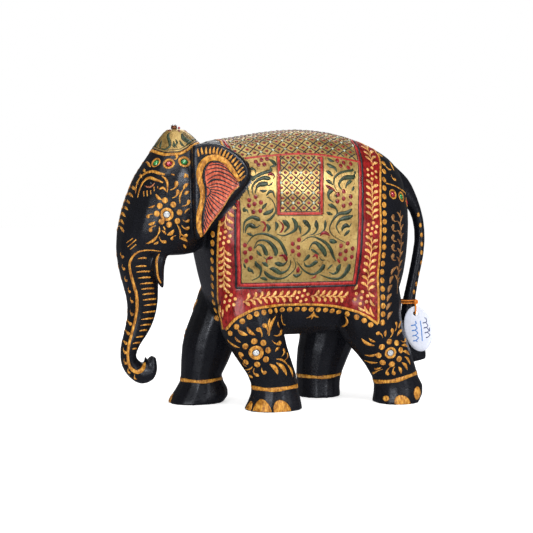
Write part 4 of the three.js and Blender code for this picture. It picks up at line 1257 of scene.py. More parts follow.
# As in the sprays: (kind, root y, root z, tip y, tip z, width).
CHEEK_SPRAY = [
    ("leaf", -95.6, 151.4, -99.2, 155.6, 2.0), ("leaf", -88.4, 169.2, -86, 168.4, 1.1),
    ("comma", -90, 158.2, -85, 163.6, 3.0), ("comma", -88.8, 152.7, -84.4, 157.8, 2.8),
    ("leaf", -79.6, 166.8, -76.4, 168.8, 2.2), ("leaf", -83.2, 148.8, -80.2, 159.2, 1.3),
    ("leaf", -80.4, 158.6, -76.3, 163, 2.4), ("leaf", -79.6, 155, -76.2, 157.2, 2.4),
    ("comma", -81.8, 147.1, -76.4, 150.8, 2.6), ("leaf", -80, 141.8, -76, 145.4, 1.2),
    ("comma", -81.4, 137.7, -76.4, 137, 2.3), ("comma", -82, 133.8, -76.4, 131.6, 2.6),
    ("comma", -82.9, 128.9, -77.4, 126.4, 2.6), ("leaf", -85.3, 134.2, -82.8, 124.4, 1.3),
    ("leaf", -82.8, 124.6, -76.4, 121.8, 2.2), ("leaf", -87.4, 130.6, -92, 127, 2.8),
    ("leaf", -95, 132.9, -93.6, 130.1, 1.0), ("leaf", -96, 130.1, -92.8, 127.3, 1.4),
    ("comma", -85.6, 126.5, -88.6, 123.9, 2.2), ("comma", -97.4, 125.9, -92.8, 122, 2.6),
    ("leaf", -97.6, 122.4, -100.7, 120.7, 1.8), ("leaf", -97.7, 132.9, -98.6, 126.8, 1.3),
    ("leaf", -98.4, 127, -105.6, 120.9, 2.0), ("comma", -99.7, 133.6, -103.4, 129.8, 2.8),
    ("leaf", -100.4, 136.4, -104.7, 134.3, 2.2), ("comma", -101.5, 141.6, -105, 139.3, 2.4),
    ("leaf", -100.1, 147.8, -104.2, 146.2, 1.4),
]
# Short strokes at the corner of the mouth: y and z of both ends.
MOUTH_TICKS = [
    (-117.2, 121.2, -113.6, 124.7), (-116.5, 118.5, -111.6, 123.7), (-115.3, 116.6, -111.5, 120.2),
]
FOREHEAD_LEAVES = [
    (-100, 176.5), (-103.3, 172.6), (-105.8, 168.9), (-108.3, 164.5), (-110.3, 159.9), (-112.3, 155.3),
    (-114.2, 150.7), (-115.7, 146.2), (-117.1, 141.4), (-118.2, 136.4), (-118.8, 130.6),
]
TRUNK_COMMAS = [
    (-119.3, 112), (-118.2, 103.5), (-116.4, 95.2), (-114, 87.2), (-112.3, 80), (-112.1, 70.9),
    (-113.2, 64.1), (-114.8, 57.3), (-116.6, 50.5), (-117.2, 43.9), (-117, 36.2), (-114.4, 29.4),
    (-109.8, 24.7),
]
TRUNK_LINE = [
    (-94.9, 115.4, .3), (-102.3, 116.2, .4), (-108.8, 115.4, .5), (-112.9, 112.4, .6), (-115, 107.6, .8),
    (-114.6, 101.7, .9), (-112.5, 93.6, 1), (-109.8, 84.3, 1), (-109.2, 75.2, 1), (-110.4, 65.9, .9),
    (-112.9, 55.8, .9), (-114.9, 47.7, .9), (-115.5, 39.6, .9), (-113.9, 32.8, 1), (-109.3, 29.1, 1.2),
    (-104.6, 30.6, 1.3), (-101.8, 34.6, .8),
]
MOUTH_LINE = [
    (-95.6, 113.6, .5), (-97.2, 108.8, 1), (-97.2, 103.9, .9), (-96, 97.6, .8), (-93.6, 92.6, .5),
]
# Ribs of the trunk: front y, z, rear y.
RIBS = [
    (-110, 110.3, -103.9), (-111.2, 104.6, -103.7), (-110.6, 100.7, -100.9), (-109.4, 96.4, -99.9),
    (-107.8, 92.2, -97.6), (-106.8, 88.4, -97), (-105.8, 84.6, -96.4), (-105.2, 80.6, -94.6),
    (-104.8, 76.7, -94.2), (-105.3, 71.6, -94.6), (-106.2, 66.7, -95.9), (-106.8, 62.4, -98.4),
    (-107.5, 58.5, -101.3), (-110, 54, -104.2), (-112, 49.7, -106.3), (-112.4, 45.6, -108.8),
]
TAIL_DROPS = [
    (112.6, 139), (114.4, 131), (115.5, 123.5), (115.7, 116.5), (115.6, 110), (115.7, 102.3), (113.9, 94),
    (111.4, 86), (109.4, 79.8),
]


def brow(on_side):
    for width, points in BROW_LINES:
        gold.stroke(on_side, points, width)
    for y, z, high in LASHES:
        gold.stroke(on_side, [(y, z + high / 2, .8), (y - 0.2, z - high / 2, .6)], 1.1)


def cheek(on_side):
    for y, z in CHEEK_DOTS:
        gold.dot(on_side, y, z, 4.1, 4.2)
    spray(on_side, CHEEK_SPRAY)
    for y0, z0, y1, z1 in MOUTH_TICKS:
        gold.stroke(on_side, [(y0, z0, .6), (y1, z1, 1)], 0.8)


def front_leaves(on_side):
    """Leaves down the front of the head, then commas down the trunk."""
    for y, z in FOREHEAD_LEAVES:
        gold.leaf(on_side, (y + 0.4, z - 2.2), (y - 0.4, z + 2.2), 2.0)
    for y, z in TRUNK_COMMAS:
        gold.comma(on_side, (y + 0.6, z - 1.2), (y - 0.5, z + 2.4), 2.4, bend=0.15)


def trunk(on_side):
    gold.stroke(on_side, TRUNK_LINE, 2.3)
    gold.stroke(on_side, MOUTH_LINE, 1.7)
    for y0, z, y1 in RIBS:
        gold.stroke(on_side, [(y0, z, .4), ((y0 + y1) / 2, z + 0.4, 1), (y1, z + 0.3, .8)], 1.2)


def tail_and_nape(on_side):
    """Two strokes beside the ear and the drops down the tail."""
    gold.leaf(on_side, (-76.4, 166.8), (-79, 170), 1.6)
    gold.leaf(on_side, (-76.4, 117), (-79.2, 120), 1.6)
    for y, z in TAIL_DROPS:
        gold.dot(on_side, y + 0.5, z, 2.1, 3.6)


for sign in (1, -1):
    if sign > 0:
        left_belly(side(sign))
    rump(side(sign))
    brow(side(sign))
    cheek(side(sign))
    front_leaves(side(sign))
    trunk(side(sign))
    tail_and_nape(side(sign))
lay((gold, GOLD, "gold_paint"), (old_gold, OLD_GOLD, "gold_paint"), (gold_nails, GOLD, "gold_paint"))

# ---------------------------------------------------------------- ears

EAR_DISH = [
    (-67.1, 171.7), (-65.8, 174.8), (-63.9, 177.1), (-60.2, 178.3), (-55.7, 177.9), (-52, 175.6),
    (-47.9, 170.2), (-44.9, 165.2), (-43.9, 161), (-47.6, 157.5), (-51.3, 152.4), (-54.2, 147),
    (-58.4, 140.6), (-62.2, 135.4), (-65.4, 130.2), (-68, 127), (-68.5, 134.7), (-67.9, 140.1),
    (-67.3, 146.3), (-66.3, 151.7), (-65.9, 157.1), (-66.5, 161.7), (-67.3, 167.1),
]
EAR_BAND = [
    (-43.8, 164.6, .5), (-46.4, 169, .7), (-49.4, 173.2, .85), (-52.8, 177.6, .95), (-56.5, 180, 1),
    (-60.8, 180.9, 1.05), (-65.4, 179.6, 1.05), (-69, 175.8, 1.1), (-70.8, 170, 1.05), (-70.3, 164, .95),
    (-69, 159.2, .9), (-68.6, 154, .85), (-69.4, 148.6, .85), (-70.7, 143.2, .9), (-71.3, 137, .9),
    (-70.9, 131.2, .8), (-69.3, 126, .5),
]
EAR_VEINS = [
    [(-61.7, 177.4), (-57.6, 177.4), (-54.1, 175.9)],
    [(-64.6, 175.2), (-58.4, 176.1), (-53.5, 174.2), (-49.2, 170.6)],
    [(-66.4, 172), (-58.4, 173.6), (-50.5, 171), (-46.4, 166.4)],
    [(-66.3, 168.2), (-59.1, 171.3), (-50.9, 168.6), (-45.1, 163.8)],
    [(-65.7, 164.9), (-58.4, 168.7), (-50.9, 165.8), (-44.7, 162)],
    [(-64.2, 161.1), (-58.4, 162.7), (-50.9, 160.2), (-47.9, 158.4)],
    [(-63.6, 159.8), (-57.7, 160.4), (-50, 156.9)],
    [(-63.2, 158.6), (-57.3, 157.9), (-50.9, 154.8)],
    [(-63.2, 157.2), (-57.7, 155.8), (-52.1, 152.4)],
    [(-63.5, 156.2), (-59.2, 153.9), (-53.4, 150)],
    [(-64, 155.4), (-59.9, 151.6), (-54.9, 147.6)],
    [(-64.8, 154.6), (-61.4, 150), (-56.4, 145)],
    [(-65.5, 153.6), (-62.2, 147.1), (-57.9, 142.6)],
    [(-66.1, 151.6), (-63.7, 145.6), (-59.6, 140.3)],
    [(-66.6, 148.8), (-64.4, 142.4), (-61.1, 138.1)],
    [(-67, 145.6), (-65.2, 139.8), (-62.4, 136.2)],
    [(-67.3, 142.2), (-65.8, 136.8), (-63.7, 134.2)],
    [(-67.6, 138.4), (-66.4, 134.2), (-65, 132)],
    [(-67.9, 134.6), (-67.2, 131.8), (-66.2, 130)],
]
EAR_FLAMES = [
    (-70.9, 181.6, -71.6, 188), (-68.4, 182.9, -69.1, 188.7), (-66, 183.2, -65.6, 189.2),
    (-63.5, 183.4, -62.6, 189.3), (-61.2, 183.4, -60, 189.1), (-59.2, 183.1, -57.4, 188.8),
    (-57.2, 182.6, -54.7, 188), (-54.8, 181.6, -51.9, 187.2), (-52.7, 180.6, -49.8, 185.2),
    (-50.9, 179.1, -47.4, 183.5), (-49, 177.2, -45.1, 181.6), (-47.3, 175, -43.1, 179.6),
    (-46, 172.6, -41.5, 177.6), (-44.9, 170.2, -40.2, 175), (-44, 167.6, -39.3, 172.2),
    (-43.3, 164.9, -38.8, 169),
]

EAR_PAINT = 0.13    # height of the veins over the pink dish
BAND_BASE = -0.62   # the band's paint is thick, so the flames start under its skin


def ear_pink(on_side):
    """The pink coat in the ear's dish."""
    rows = [[on_side(-69 + i * 0.8, 126.4 + k * 0.9) for k in range(59)] for i in range(33)]

    def in_dish(*places):
        m = sum((p[0] for p in places), Vector()) / 4
        return inside(EAR_DISH, m.y, m.z)

    ear_dish.sheet(rows, in_dish)


def ear_lines(on_side):
    """Black veins, the bold curl, the half moon and the outline of the dish."""
    for vein in EAR_VEINS:
        shares = (0.7, 1.0, 0.6) if len(vein) == 3 else (0.6, 1.0, 1.0, 0.5)
        line = [(y, z, w) for (y, z), w in zip(vein, shares)]
        ear_veins.stroke(on_side, line, 0.85, base=EAR_PAINT)
    bold = [(-65.1, 162.6, .4), (-62.6, 164.6, .9), (-59.6, 165.6, 1), (-54.4, 164.7, .6), (-48.7, 161.6, .4),
            (-45.6, 160.8, .3)]
    half_moon = [(-66, 160.6), (-63.9, 159.5), (-63.1, 157.1), (-63.9, 154.8), (-65.9, 153.2)]
    ear_veins.stroke(on_side, bold, 1.5, base=EAR_PAINT)
    ear_veins.stroke(on_side, half_moon, 0.8, base=EAR_PAINT)
    ear_veins.stroke(on_side, [(y * 0.995 - 0.2, z) for y, z in EAR_DISH], 0.9, closed=True, base=0.1)


def ear_rim(on_side):
    """The raised gold band and the flames outside it."""
    ear_gold.stroke(on_side, EAR_BAND, 4.0)
    ear_gold.stroke(on_side, EAR_DISH[8:16], 1.1, base=-0.5)
    lean = 0.35
    for y0, z0, y1, z1 in EAR_FLAMES:
        dy, dz = y1 - y0, z1 - z0
        flame = [(y0, z0, .9), (y0 + dy * .35 - lean, z0 + dz * .35, 1),
                 (y0 + dy * .7 - lean, z0 + dz * .7, .6), (y1, z1, .2)]
        ear_gold.stroke(on_side, flame, 1.9, base=BAND_BASE, step=0.6)


ear_dish, ear_gold, ear_veins = Paint("ear_dish"), Paint("ear_band", 0.9), Paint("ear_veins", 0.2)
for sign in (1, -1):
    ear_pink(side(sign))
    ear_rim(side(sign))
    ear_lines(side(sign))
lay((ear_dish, SALMON, "ear_paint"), (ear_gold, GOLD, "gold_paint"),
    (ear_veins, BLACK, "black_lacquer_wood"))


# ---------------------------------------------------------------- gilded cap on the crown

CROWN_HUB = (-77.0, 182.0)
CAP_RIM = [(0, 16), (14, 14.5), (50, 6), (79, 7), (97, 15.5), (110, 24), (135, 33), (180, 36)]
CAP_PAINT = 0.13    # height of the lines over the cap's gold
CAP_SCROLLS = [     # width, then (angle, elevation, share of width)
    (2.3, [(46, 62, .3), (40, 56, .8), (52, 40, 1), (58, 24, .8), (48, 14, .6), (38, 13, .3)]),
    (2.0, [(24, 40, .3), (29, 27, 1), (34, 12, .3)]),
    (1.5, [(12, 44, .3), (16, 34, 1), (14, 26, .3)]),
    (1.5, [(6, 32, .3), (7, 24, 1), (12, 18, .2)]),
    (1.4, [(66, 38, .3), (70, 28, 1), (77, 17, .2)]),
]

cap_gold, cap_green = Paint("crown_leaf"), Paint("crown_scrolls", 0.2)
cap_black, cap_line, cap_red = Paint("crown_lines", 0.2), Paint("crown_rim", 0.35), Paint("crown_drops", 0.25)
on_cap = dome(*CROWN_HUB)


def rim(angle):
    """Elevation of the cap's edge at an angle from the front, alike on both sides."""
    return follow(CAP_RIM, abs(((angle + 180) % 360) - 180))


def cap_ground():
    """The gold-leaf coat, its raised rim and two thin lines inside it."""
    steps, top = 26, 88.5
    rows = [[on_cap(a, rim(a) + (top - rim(a)) * k / steps) for k in range(steps + 1)]
            for a in range(0, 361, 5)]
    cap_gold.sheet(rows, lambda *places: True)
    ring = [(a, rim(a)) for a in range(0, 361, 10)]
    cap_line.stroke(on_cap, [(a, e - 3.0) for a, e in ring], 2.3, step=2)
    cap_black.stroke(on_cap, [(a, e + 1.6) for a, e in ring], 0.9, step=2, base=CAP_PAINT)
    cap_black.stroke(on_cap, [(a, e + 7) for a, e in ring], 0.45, step=2, base=CAP_PAINT)


def cap_scrolls(start):
    """One sixth of the cap's scrolls and its red drop."""
    for width, points in CAP_SCROLLS:
        scroll = [(a + start, max(e, rim(a + start) + 8), w) for a, e, w in points]
        cap_green.stroke(on_cap, scroll, width, step=2, base=CAP_PAINT)
    cap_red.dot(on_cap, start + 32, 70, 2.0, 2.6, base=CAP_PAINT, sides=10)


def cap_side(sign):
    """The broad leaf, two sweeps and the comma over the temple."""
    leaf = [(sign * a, e, w) for a, e, w in ((100, 58, .6), (99, 46, 1), (104, 36, .8), (112, 29, .2))]
    cap_green.stroke(on_cap, leaf, 3.2, step=2, base=FIELD)
    for start in (114, 124):
        sweep = [(sign * (start - 4), 66, .4), (sign * start, 52, 1), (sign * (start + 6), 38, .5)]
        cap_black.stroke(on_cap, sweep, 0.6, step=2, base=CAP_PAINT)
    cap_line.comma(side(sign), (-82.6, 182.6), (-85, 179.6), 2.2, bend=0.3)


cap_ground()
for start in range(-180, 180, 60):
    cap_scrolls(start)
for sign in (1, -1):
    cap_side(sign)
lay((cap_gold, GOLD_LEAF, "gold_leaf"), (cap_green, GREEN, "green_paint"),
    (cap_black, BLACK, "black_lacquer_wood"), (cap_line, GOLD, "gold_paint"), (cap_red, BERRY, "berry_paint"))


# ---------------------------------------------------------------- eyes

EYE_BLACK = brushed_paint("eye_black", (0.003, 0.003, 0.004), (0.006, 0.006, 0.009), (0.014, 0.013, 0.018),
                          (0.05, 0.12))
LID_BROWN = brushed_paint("eyelid_brown", (0.12, 0.03, 0.012), (0.3, 0.09, 0.035), (0.5, 0.2, 0.08))
LID = [(-105, 161.4, .3), (-103.8, 160.5, .9), (-102.2, 160.3, 1), (-100.4, 161.6, .8), (-99.2, 163.2, .3)]
eyes, lids = Paint("eyes", 0.8), Paint("eyelids", 0.35)
for sign in (1, -1):
    eyes.dot(side(sign), -102.3, 162.6, 4.6, 3.0, sides=18)
    lids.stroke(side(sign), LID, 1.2)
lay((eyes, EYE_BLACK, "black_lacquer_wood"), (lids, LID_BROWN, "berry_paint"))

# ---------------------------------------------------------------- inlaid stones and the crown finial

STONE_ACROSS, STONE_TALL, FINIAL_ACROSS = 4.4, 1.9, 3.2


def glass(name, dark, middle, painted_glint, metal):
    """Foil-backed cut glass: painted glints and painted dark reflections in random facet cells of the base
    colour.
    """
    n = Nodes(name)
    cells = n.add("TexVoronoi")
    n.link(n.place, cells.inputs["Vector"])
    cells.inputs["Scale"].default_value = 900
    fine = n.noise(1600, 2, 0.5)
    # Painted glints and painted dark reflections: random cells and specks of the base colour are made bright
    # or dark in place of reflected light.
    painted_facet_glints = n.ramp(cells.outputs["Distance"], (0.15, painted_glint), (0.45, middle), (0.8, dark))
    colour = n.mix(0.5, painted_facet_glints, n.ramp(fine, (0.35, dark), (0.65, painted_glint)))
    normal = n.bump(cells.outputs["Distance"], 0.5, 0.0003, n.bump(fine, 0.1, 0.0001))
    return n.finish(colour, n.grey(fine, 0.04, 0.12), normal, Metallic=metal, Specular_IOR_Level=0.9,
                    Coat_Weight=0.6, Coat_Roughness=0.05)


# Each glass: colour of the painted dark reflections, middle colour, colour of the painted glints, share of
# metal.
CLEAR = glass("clear_glass", (0.3, 0.33, 0.35), (0.66, 0.7, 0.72), (0.95, 0.97, 0.98), 0.3)
RUBY = glass("red_glass", (0.03, 0.0, 0.002), (0.22, 0.004, 0.012), (0.75, 0.03, 0.06), 0.3)
EMERALD = glass("green_glass", (0.002, 0.02, 0.008), (0.01, 0.12, 0.03), (0.08, 0.6, 0.14), 0.3)


def brilliant(name, node, centre, normal, diameter, material, slot):
    """A cut stone: girdle, two rings of facets and a flat table."""
    r, height = diameter / 2, STONE_TALL
    turn = Vector((0, 0, 1)).rotation_difference(normal).to_matrix()
    rings = [(16, 0.86 * r, -0.5 * height, 0), (16, r, -0.12 * height, 0), (16, r, 0.04 * height, 0),
             (8, 0.8 * r, 0.3 * height, 11.25), (8, 0.52 * r, 0.5 * height, 33.75)]
    points, faces, loops = [], [], []
    for count, radius, level, start in rings:
        loop = []
        for k in range(count):
            a = math.radians(start + 360 * k / count)
            loop.append(len(points))
            points.append(centre + turn @ Vector((radius * math.cos(a), radius * math.sin(a), level)))
        loops.append(loop)
    faces.append(tuple(reversed(loops[0])))
    bridge(faces, loops[:3])
    girdle, star, table = loops[2], loops[3], loops[4]
    for k in range(8):
        a, b, c = girdle[2 * k], girdle[2 * k + 1], girdle[(2 * k + 2) % 16]
        faces += [(a, b, star[k]), (b, c, star[k]), (c, star[(k + 1) % 8], star[k])]
        faces += [(star[k], star[(k + 1) % 8], table[k]), (star[(k + 1) % 8], table[(k + 1) % 8], table[k])]
    faces.append(tuple(table))
    stone = new_object(name, points, faces, smooth=False)
    stone.data.materials.append(material)
    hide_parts(node)
    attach(stone, "root")


def box_middle(node):
    low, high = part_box(node)
    return (Vector(low) + Vector(high)) * 500


GLASS_OF = {"forehead_1": (EMERALD, "green_glass"), "forehead_2": (RUBY, "red_glass"),
            "forehead_3": (EMERALD, "green_glass"), "cheek": (CLEAR, "clear_glass"),
            "rump_1": (RUBY, "red_glass"), "rump_2": (EMERALD, "green_glass"), "rump_3": (RUBY, "red_glass"),
            "shoulder": (CLEAR, "clear_glass"), "hip": (CLEAR, "clear_glass")}
BEZEL_WIDTH = {"forehead_1": 7.6, "forehead_2": 8.4, "forehead_3": 8.8, "cheek": 9.2, "rump_1": 7.6,
               "rump_2": 7.8, "rump_3": 7.4, "shoulder": 10.6, "hip": 8.8}
SOCKET_REACH = 5.0  # radius round a stone at which the wood's slope is taken
bezels = Paint("stone_bezels", 0.3)


def slope(centre):
    """The way the wood faces round a stone, from twelve places about it."""
    facing = Vector()
    for k in range(12):
        a = math.radians(30 * k)
        arm = Vector((0, SOCKET_REACH * math.cos(a), SOCKET_REACH * math.sin(a)))
        facing += SKIN.find_nearest(centre + arm)[1]
    return facing.normalized()


def bezel(centre, facing, width):
    """A painted ring laid on the wood round a stone's socket."""
    up = (Vector((0, 0, 1)) - facing * facing.z).normalized()
    wide = up.cross(facing)
    rim_radius, mouth = 3.0, ((3.1, 1.0), (2.75, 0.5), (2.6, -0.3))
    outside = ((width / 2, -SINK), (width / 2, 0.6), (width / 2 - 0.5, 1.0))
    loops = []
    for radius, height in outside + mouth:
        loop = []
        for a in circle(28):
            spoke = wide * math.cos(a) + up * math.sin(a)
            arm = spoke * max(radius, rim_radius)
            near, normal, _, _ = SKIN.ray_cast(centre + arm + facing * 6, -facing, 14)
            if near is None:
                near, normal, _, _ = SKIN.find_nearest(centre + arm)
            near = near + spoke * min(0.0, radius - rim_radius)
            loop.append(len(bezels.vertices))
            bezels.vertices.append(near + normal * bezels.lift * height)
        loops.append(loop)
    bridge(bezels.faces, loops)


def inlaid_stone(kind, side_name, material, slot):
    """One stone and the ring round it."""
    node = f"{kind}_stone_{side_name}"
    centre = box_middle(node)
    facing = slope(centre)
    bezel(centre, facing, BEZEL_WIDTH[kind])
    brilliant(f"stone_{kind}_{side_name}", node, centre, facing, STONE_ACROSS, material, slot)


for kind, (material, slot) in GLASS_OF.items():
    inlaid_stone(kind, "left", material, slot)
    inlaid_stone(kind, "right", material, slot)
bezels.piece(GOLD, "gold_paint")


def turned(name, centre, profile, sides, material, node):
    """A round piece turned about an upright axis: profile of radius, height."""
    points, faces = [], []
    for radius, level in profile:
        for a in circle(sides):
            points.append(centre + Vector((radius * math.cos(a), radius * math.sin(a), level)))
    bridge(faces, rows_of(len(profile), sides))
    faces.append(tuple(reversed(range(sides))))
    faces.append(tuple(range(len(points) - sides, len(points))))
    piece = new_object(name, points, faces)
    piece.data.materials.append(material)
    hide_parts(node)
    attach(piece, "root")


def aged_metal():
    n = Nodes("aged_copper")
    worn = n.noise(900, 3, 0.6)
    colour = n.ramp(worn, (0.3, (0.06, 0.02, 0.012)), (0.55, (0.2, 0.07, 0.035)), (0.78, (0.42, 0.2, 0.1)))
    return n.finish(colour, n.grey(worn, 0.28, 0.5), n.bump(worn, 0.4, 0.0002), Metallic=0.75)


# Shares of the cup's radius and height, up the outside and down the inside.
CUP_PROFILE = [(0.8, 0), (0.95, 0.12), (1, 0.28), (0.9, 0.5), (0.84, 0.72), (0.92, 0.86), (1, 0.95),
               (0.93, 1), (0.76, 0.95), (0.74, 0.52)]
AXIS = 0.05         # radius that closes a turned profile


def finial_cup():
    low, high = (Vector(v) * 1000 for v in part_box("crown_cup"))
    r, h = (high.x - low.x) / 2, high.z - low.z
    foot = Vector(((low.x + high.x) / 2, (low.y + high.y) / 2, low.z))
    profile = [(AXIS, 0)] + [(a * r, b * h) for a, b in CUP_PROFILE] + [(AXIS, 0.5 * h)]
    turned("finial_cup", foot, profile, 28, aged_metal(), "crown_cup")


def finial_bead():
    low, high = (Vector(v) * 1000 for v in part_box("crown_bead"))
    r = (high.x - low.x) / 2
    profile = []
    for k in range(13):
        a = math.pi * k / 12
        profile.append((r * math.sin(a) + 0.01, -r * math.cos(a)))
    turned("finial_bead", (low + high) / 2, profile, 20, RUBY, "crown_bead")


finial_cup()
brilliant("finial_stone", "crown_stone", box_middle("crown_stone"), Vector((0, 0, 1)), FINIAL_ACROSS, CLEAR,
          "clear_glass")
finial_bead()

# ---------------------------------------------------------------- string tag

HOLE = Vector((11.4, 107.94, 64.1))
THREAD_TURN = math.radians(-20)
CARD = (Matrix.Translation(HOLE) @ Matrix.Rotation(THREAD_TURN, 4, "Z")
        @ Matrix.Rotation(math.radians(11), 4, "X"))
CARD_LENGTH, CARD_WIDTH, CARD_HALF, HOLE_R, HOLE_DOWN = 35.0, 21.5, 0.5, 1.8, 5.6
CARD_EDGE = 0.14    # how much the card thins at its edges


def paper():
    n = Nodes("tag_paper")
    fibre = n.noise(700, 4, 0.6)
    soft = n.noise(60, 2, 0.5)
    colour = n.ramp(fibre, (0.3, (0.6, 0.63, 0.72)), (0.6, (0.69, 0.71, 0.79)))
    colour = n.mix(0.5, colour, n.ramp(soft, (0.35, (0.86, 0.88, 0.95)), (0.65, (1, 1, 1))), "MULTIPLY")
    return n.finish(colour, n.grey(fibre, 0.5, 0.65), n.bump(fibre, 0.25, 0.00015))


def ink(name, dark, light):
    n = Nodes(name)
    flow = n.noise(1200, 3, 0.6)
    return n.finish(n.ramp(flow, (0.3, dark),
            (0.7, light)), n.grey(flow, 0.3, 0.5), n.bump(flow, 0.2, 0.00008))


def yarn():
    n = Nodes("orange_yarn")
    fuzz = n.noise(2600, 4, 0.7)
    colour = n.ramp(fuzz, (0.3, (0.45, 0.09, 0.005)), (0.5, (0.78, 0.22, 0.015)), (0.72, (0.95, 0.42, 0.07)))
    return n.finish(colour, n.grey(fuzz, 0.7, 0.92), n.bump(fuzz, 0.8, 0.0003))


def card_wave(p):
    """How far the card bulges at a point of its face."""
    return 0.12 * math.sin(p.y * 0.16) * math.cos(p.x * 0.2)


def tag_card():
    """The oval card with its hole, out across one face and back across the other."""
    sides, steps = 72, 8
    middle = HOLE_DOWN - CARD_LENGTH / 2
    inner, outer = [], []
    for a in circle(sides):
        inner.append(Vector((HOLE_R * math.sin(a), HOLE_R * math.cos(a))))
        outer.append(Vector((CARD_WIDTH / 2 * math.sin(a), middle + CARD_LENGTH / 2 * math.cos(a))))
    points, loops = [], []

    def loop(x, share, inset=0.0):
        ring = []
        for a, b in zip(inner, outer):
            p = a.lerp(b, share) + (b - a).normalized() * inset
            ring.append(len(points))
            points.append(CARD @ Vector((x + card_wave(p), p.x, p.y)))
        loops.append(ring)

    for k in range(steps + 1):
        loop(CARD_HALF - (CARD_EDGE if k in (0, steps) else 0), k / steps)
        if k == 0:
            loop(CARD_HALF, 0, 0.2)
    for k in range(steps, -1, -1):
        loop(-CARD_HALF + (CARD_EDGE if k in (0, steps) else 0), k / steps)
    faces = []
    bridge(faces, loops + loops[:1])
    faces = [tuple(reversed(face)) for face in faces]
    card = new_object("tag_paper_card", points, faces)
    card.data.materials.append(paper())
    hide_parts("hang_tag")
    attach(card, "tag")


def scribble(name, lines, width, material):
    """Meaningless pen loops on the card's outer face: each line is points of card y, z."""
    points, faces = [], []
    gap, thick = 0.01, 0.07
    for line in lines:
        path = [Vector(p) for p in spline(line, 0.3)]
        first = len(points)
        for i, p in enumerate(path):
            ahead, behind = path[min(i + 1, len(path) - 1)], path[max(i - 1, 0)]
            along = (ahead - behind).normalized()
            across = Vector((-along.y, along.x)) * width / 2
            for share, lift in ((-1, 0.0), (-0.6, thick), (0.6, thick), (1, 0.0)):
                place = p + across * share
                points.append(CARD @ Vector((CARD_HALF + card_wave(p) + gap + lift, place.x, place.y)))
            if i:
                for k in range(3):
                    a = first + (i - 1) * 4 + k
                    faces.append((a, a + 1, a + 5, a + 4))
    mark = new_object(name, points, faces)
    mark.data.materials.append(material)
    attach(mark, "tag")


def pen_loops(y, top, bottom, reach, turns, drift=0.0, phase=0.0):
    """A wavering run of loops going down the card."""
    count = turns * 10
    line = []
    for k in range(count + 1):
        t = k / count
        a = 2 * math.pi * turns * t + phase
        line.append((y + drift * t + reach * math.sin(a) * (0.8 + 0.25 * math.sin(3.1 * a)),
                     top + (bottom - top) * t + 0.9 * math.cos(a)))
    return line


THREAD_R, KNOT_R = 0.6, 0.62
THREAD_STEP = 0.16  # distance between the rings of a thread's mesh
TWIST_PITCH = 2.6   # length of one turn of the two plies


def twisted(name, path, radius, node, body):
    """Two-ply thread round a closed path of points."""
    fine = [Vector(p) for p in spline(path, THREAD_STEP, True, round, 3)]
    n, sides = len(fine), 20
    points, faces = [], []
    up = Vector((0.13, 0.21, 0.97)).normalized()
    for i, p in enumerate(fine):
        along = (fine[(i + 1) % n] - fine[i - 1]).normalized()
        up = (up - along * up.dot(along)).normalized()
        other = along.cross(up)
        twist = i * THREAD_STEP * 2 * math.pi / TWIST_PITCH
        for a in circle(sides):
            r = radius * (0.74 + 0.26 * abs(math.cos(a - twist)))
            points.append(p + (up * math.cos(a) + other * math.sin(a)) * r)
    rows = rows_of(n, sides)
    bridge(faces, rows + rows[:1])
    thread = new_object(name, points, faces)
    thread.data.materials.append(YARN)
    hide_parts(node)
    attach(thread, body)


YARN = yarn()


def pen_marks():
    """A dark and a blue run of loops, each with a plain stroke beside it."""
    navy = ink("navy_ink", (0.012, 0.02, 0.09), (0.04, 0.06, 0.2))
    blue = ink("blue_ink", (0.02, 0.12, 0.42), (0.08, 0.27, 0.66))
    dark_loops = pen_loops(6.0, -5.4, -20.6, 1.9, 4)
    blue_loops = pen_loops(-2.4, -6.2, -22, 2.4, 4, -1.4, 1.0)
    scribble("tag_scribble_dark", [dark_loops, [(8.4, -12.6), (8.0, -15.6)]], 0.6, navy)
    scribble("tag_scribble_blue", [blue_loops, [(2.6, -6.2), (2.2, -13), (1.2, -21.8)]], 0.75, blue)


def thread_loop():
    """The free loop through the card's hole."""
    half_tall, half_wide, rise = 4.4, 1.7, 4.28
    turn = Matrix.Rotation(THREAD_TURN, 3, "Z")
    path = []
    for a in circle(24):
        path.append(HOLE + turn @ Vector((math.sin(a) * half_wide, 0, math.cos(a) * half_tall + rise)))
    twisted("thread_loop", path, THREAD_R, "tag_loop", "loop")


def thread_wraps():
    """Two turns round the tail, one over the other."""
    for index, level in enumerate((73.45, 71.55)):
        wrap = [(6.23 * math.cos(a), 106.74 + 6.7 * math.sin(a), level) for a in circle(24)]
        twisted(f"thread_wrap_{index + 1}", wrap, THREAD_R, "tag_thread", "root")


def thread_knot():
    """An overhand knot where the wraps meet the loop."""
    path = []
    for a in circle(36):
        path.append((8.3 + 0.62 * (math.sin(a) + 2 * math.sin(2 * a)) * 1.05,
                     109.64 + 0.42 * (math.cos(a) - 2 * math.cos(2 * a)),
                     72.5 - 1.1 * math.sin(3 * a)))
    twisted("thread_knot", path, KNOT_R, "tag_thread", "root")


tag_card()
pen_marks()
thread_loop()
thread_wraps()
thread_knot()

# ---------------------------------------------------------------- stage

FLOOR_HALF = 4000
# Softboxes: name, azimuth, elevation, distance, size in metres, power in watts.
SOFTBOXES = [
    ("key", 104, 34, 0.95, (0.3, 0.24), 3.8),
    ("low side", 113, 4, 1.1, (0.34, 0.2), 1.0),
    ("low front", 54, 7, 1.2, (0.44, 0.3), 3.4),
    ("front", 42, 55, 1.0, (0.34, 0.34), 1.6),
    ("top", 80, 80, 1.4, (0.9, 0.9), 4.5),
    ("behind", 250, 40, 1.1, (0.6, 0.5), 3),
]
LIGHTS_AIM = Vector((0, 0, 0.11))
CAMERA_AIM = Vector((0, -1.66 * MM, 101.5 * MM))
PICTURE_PIXELS, MM_PER_PIXEL = 533, 0.74


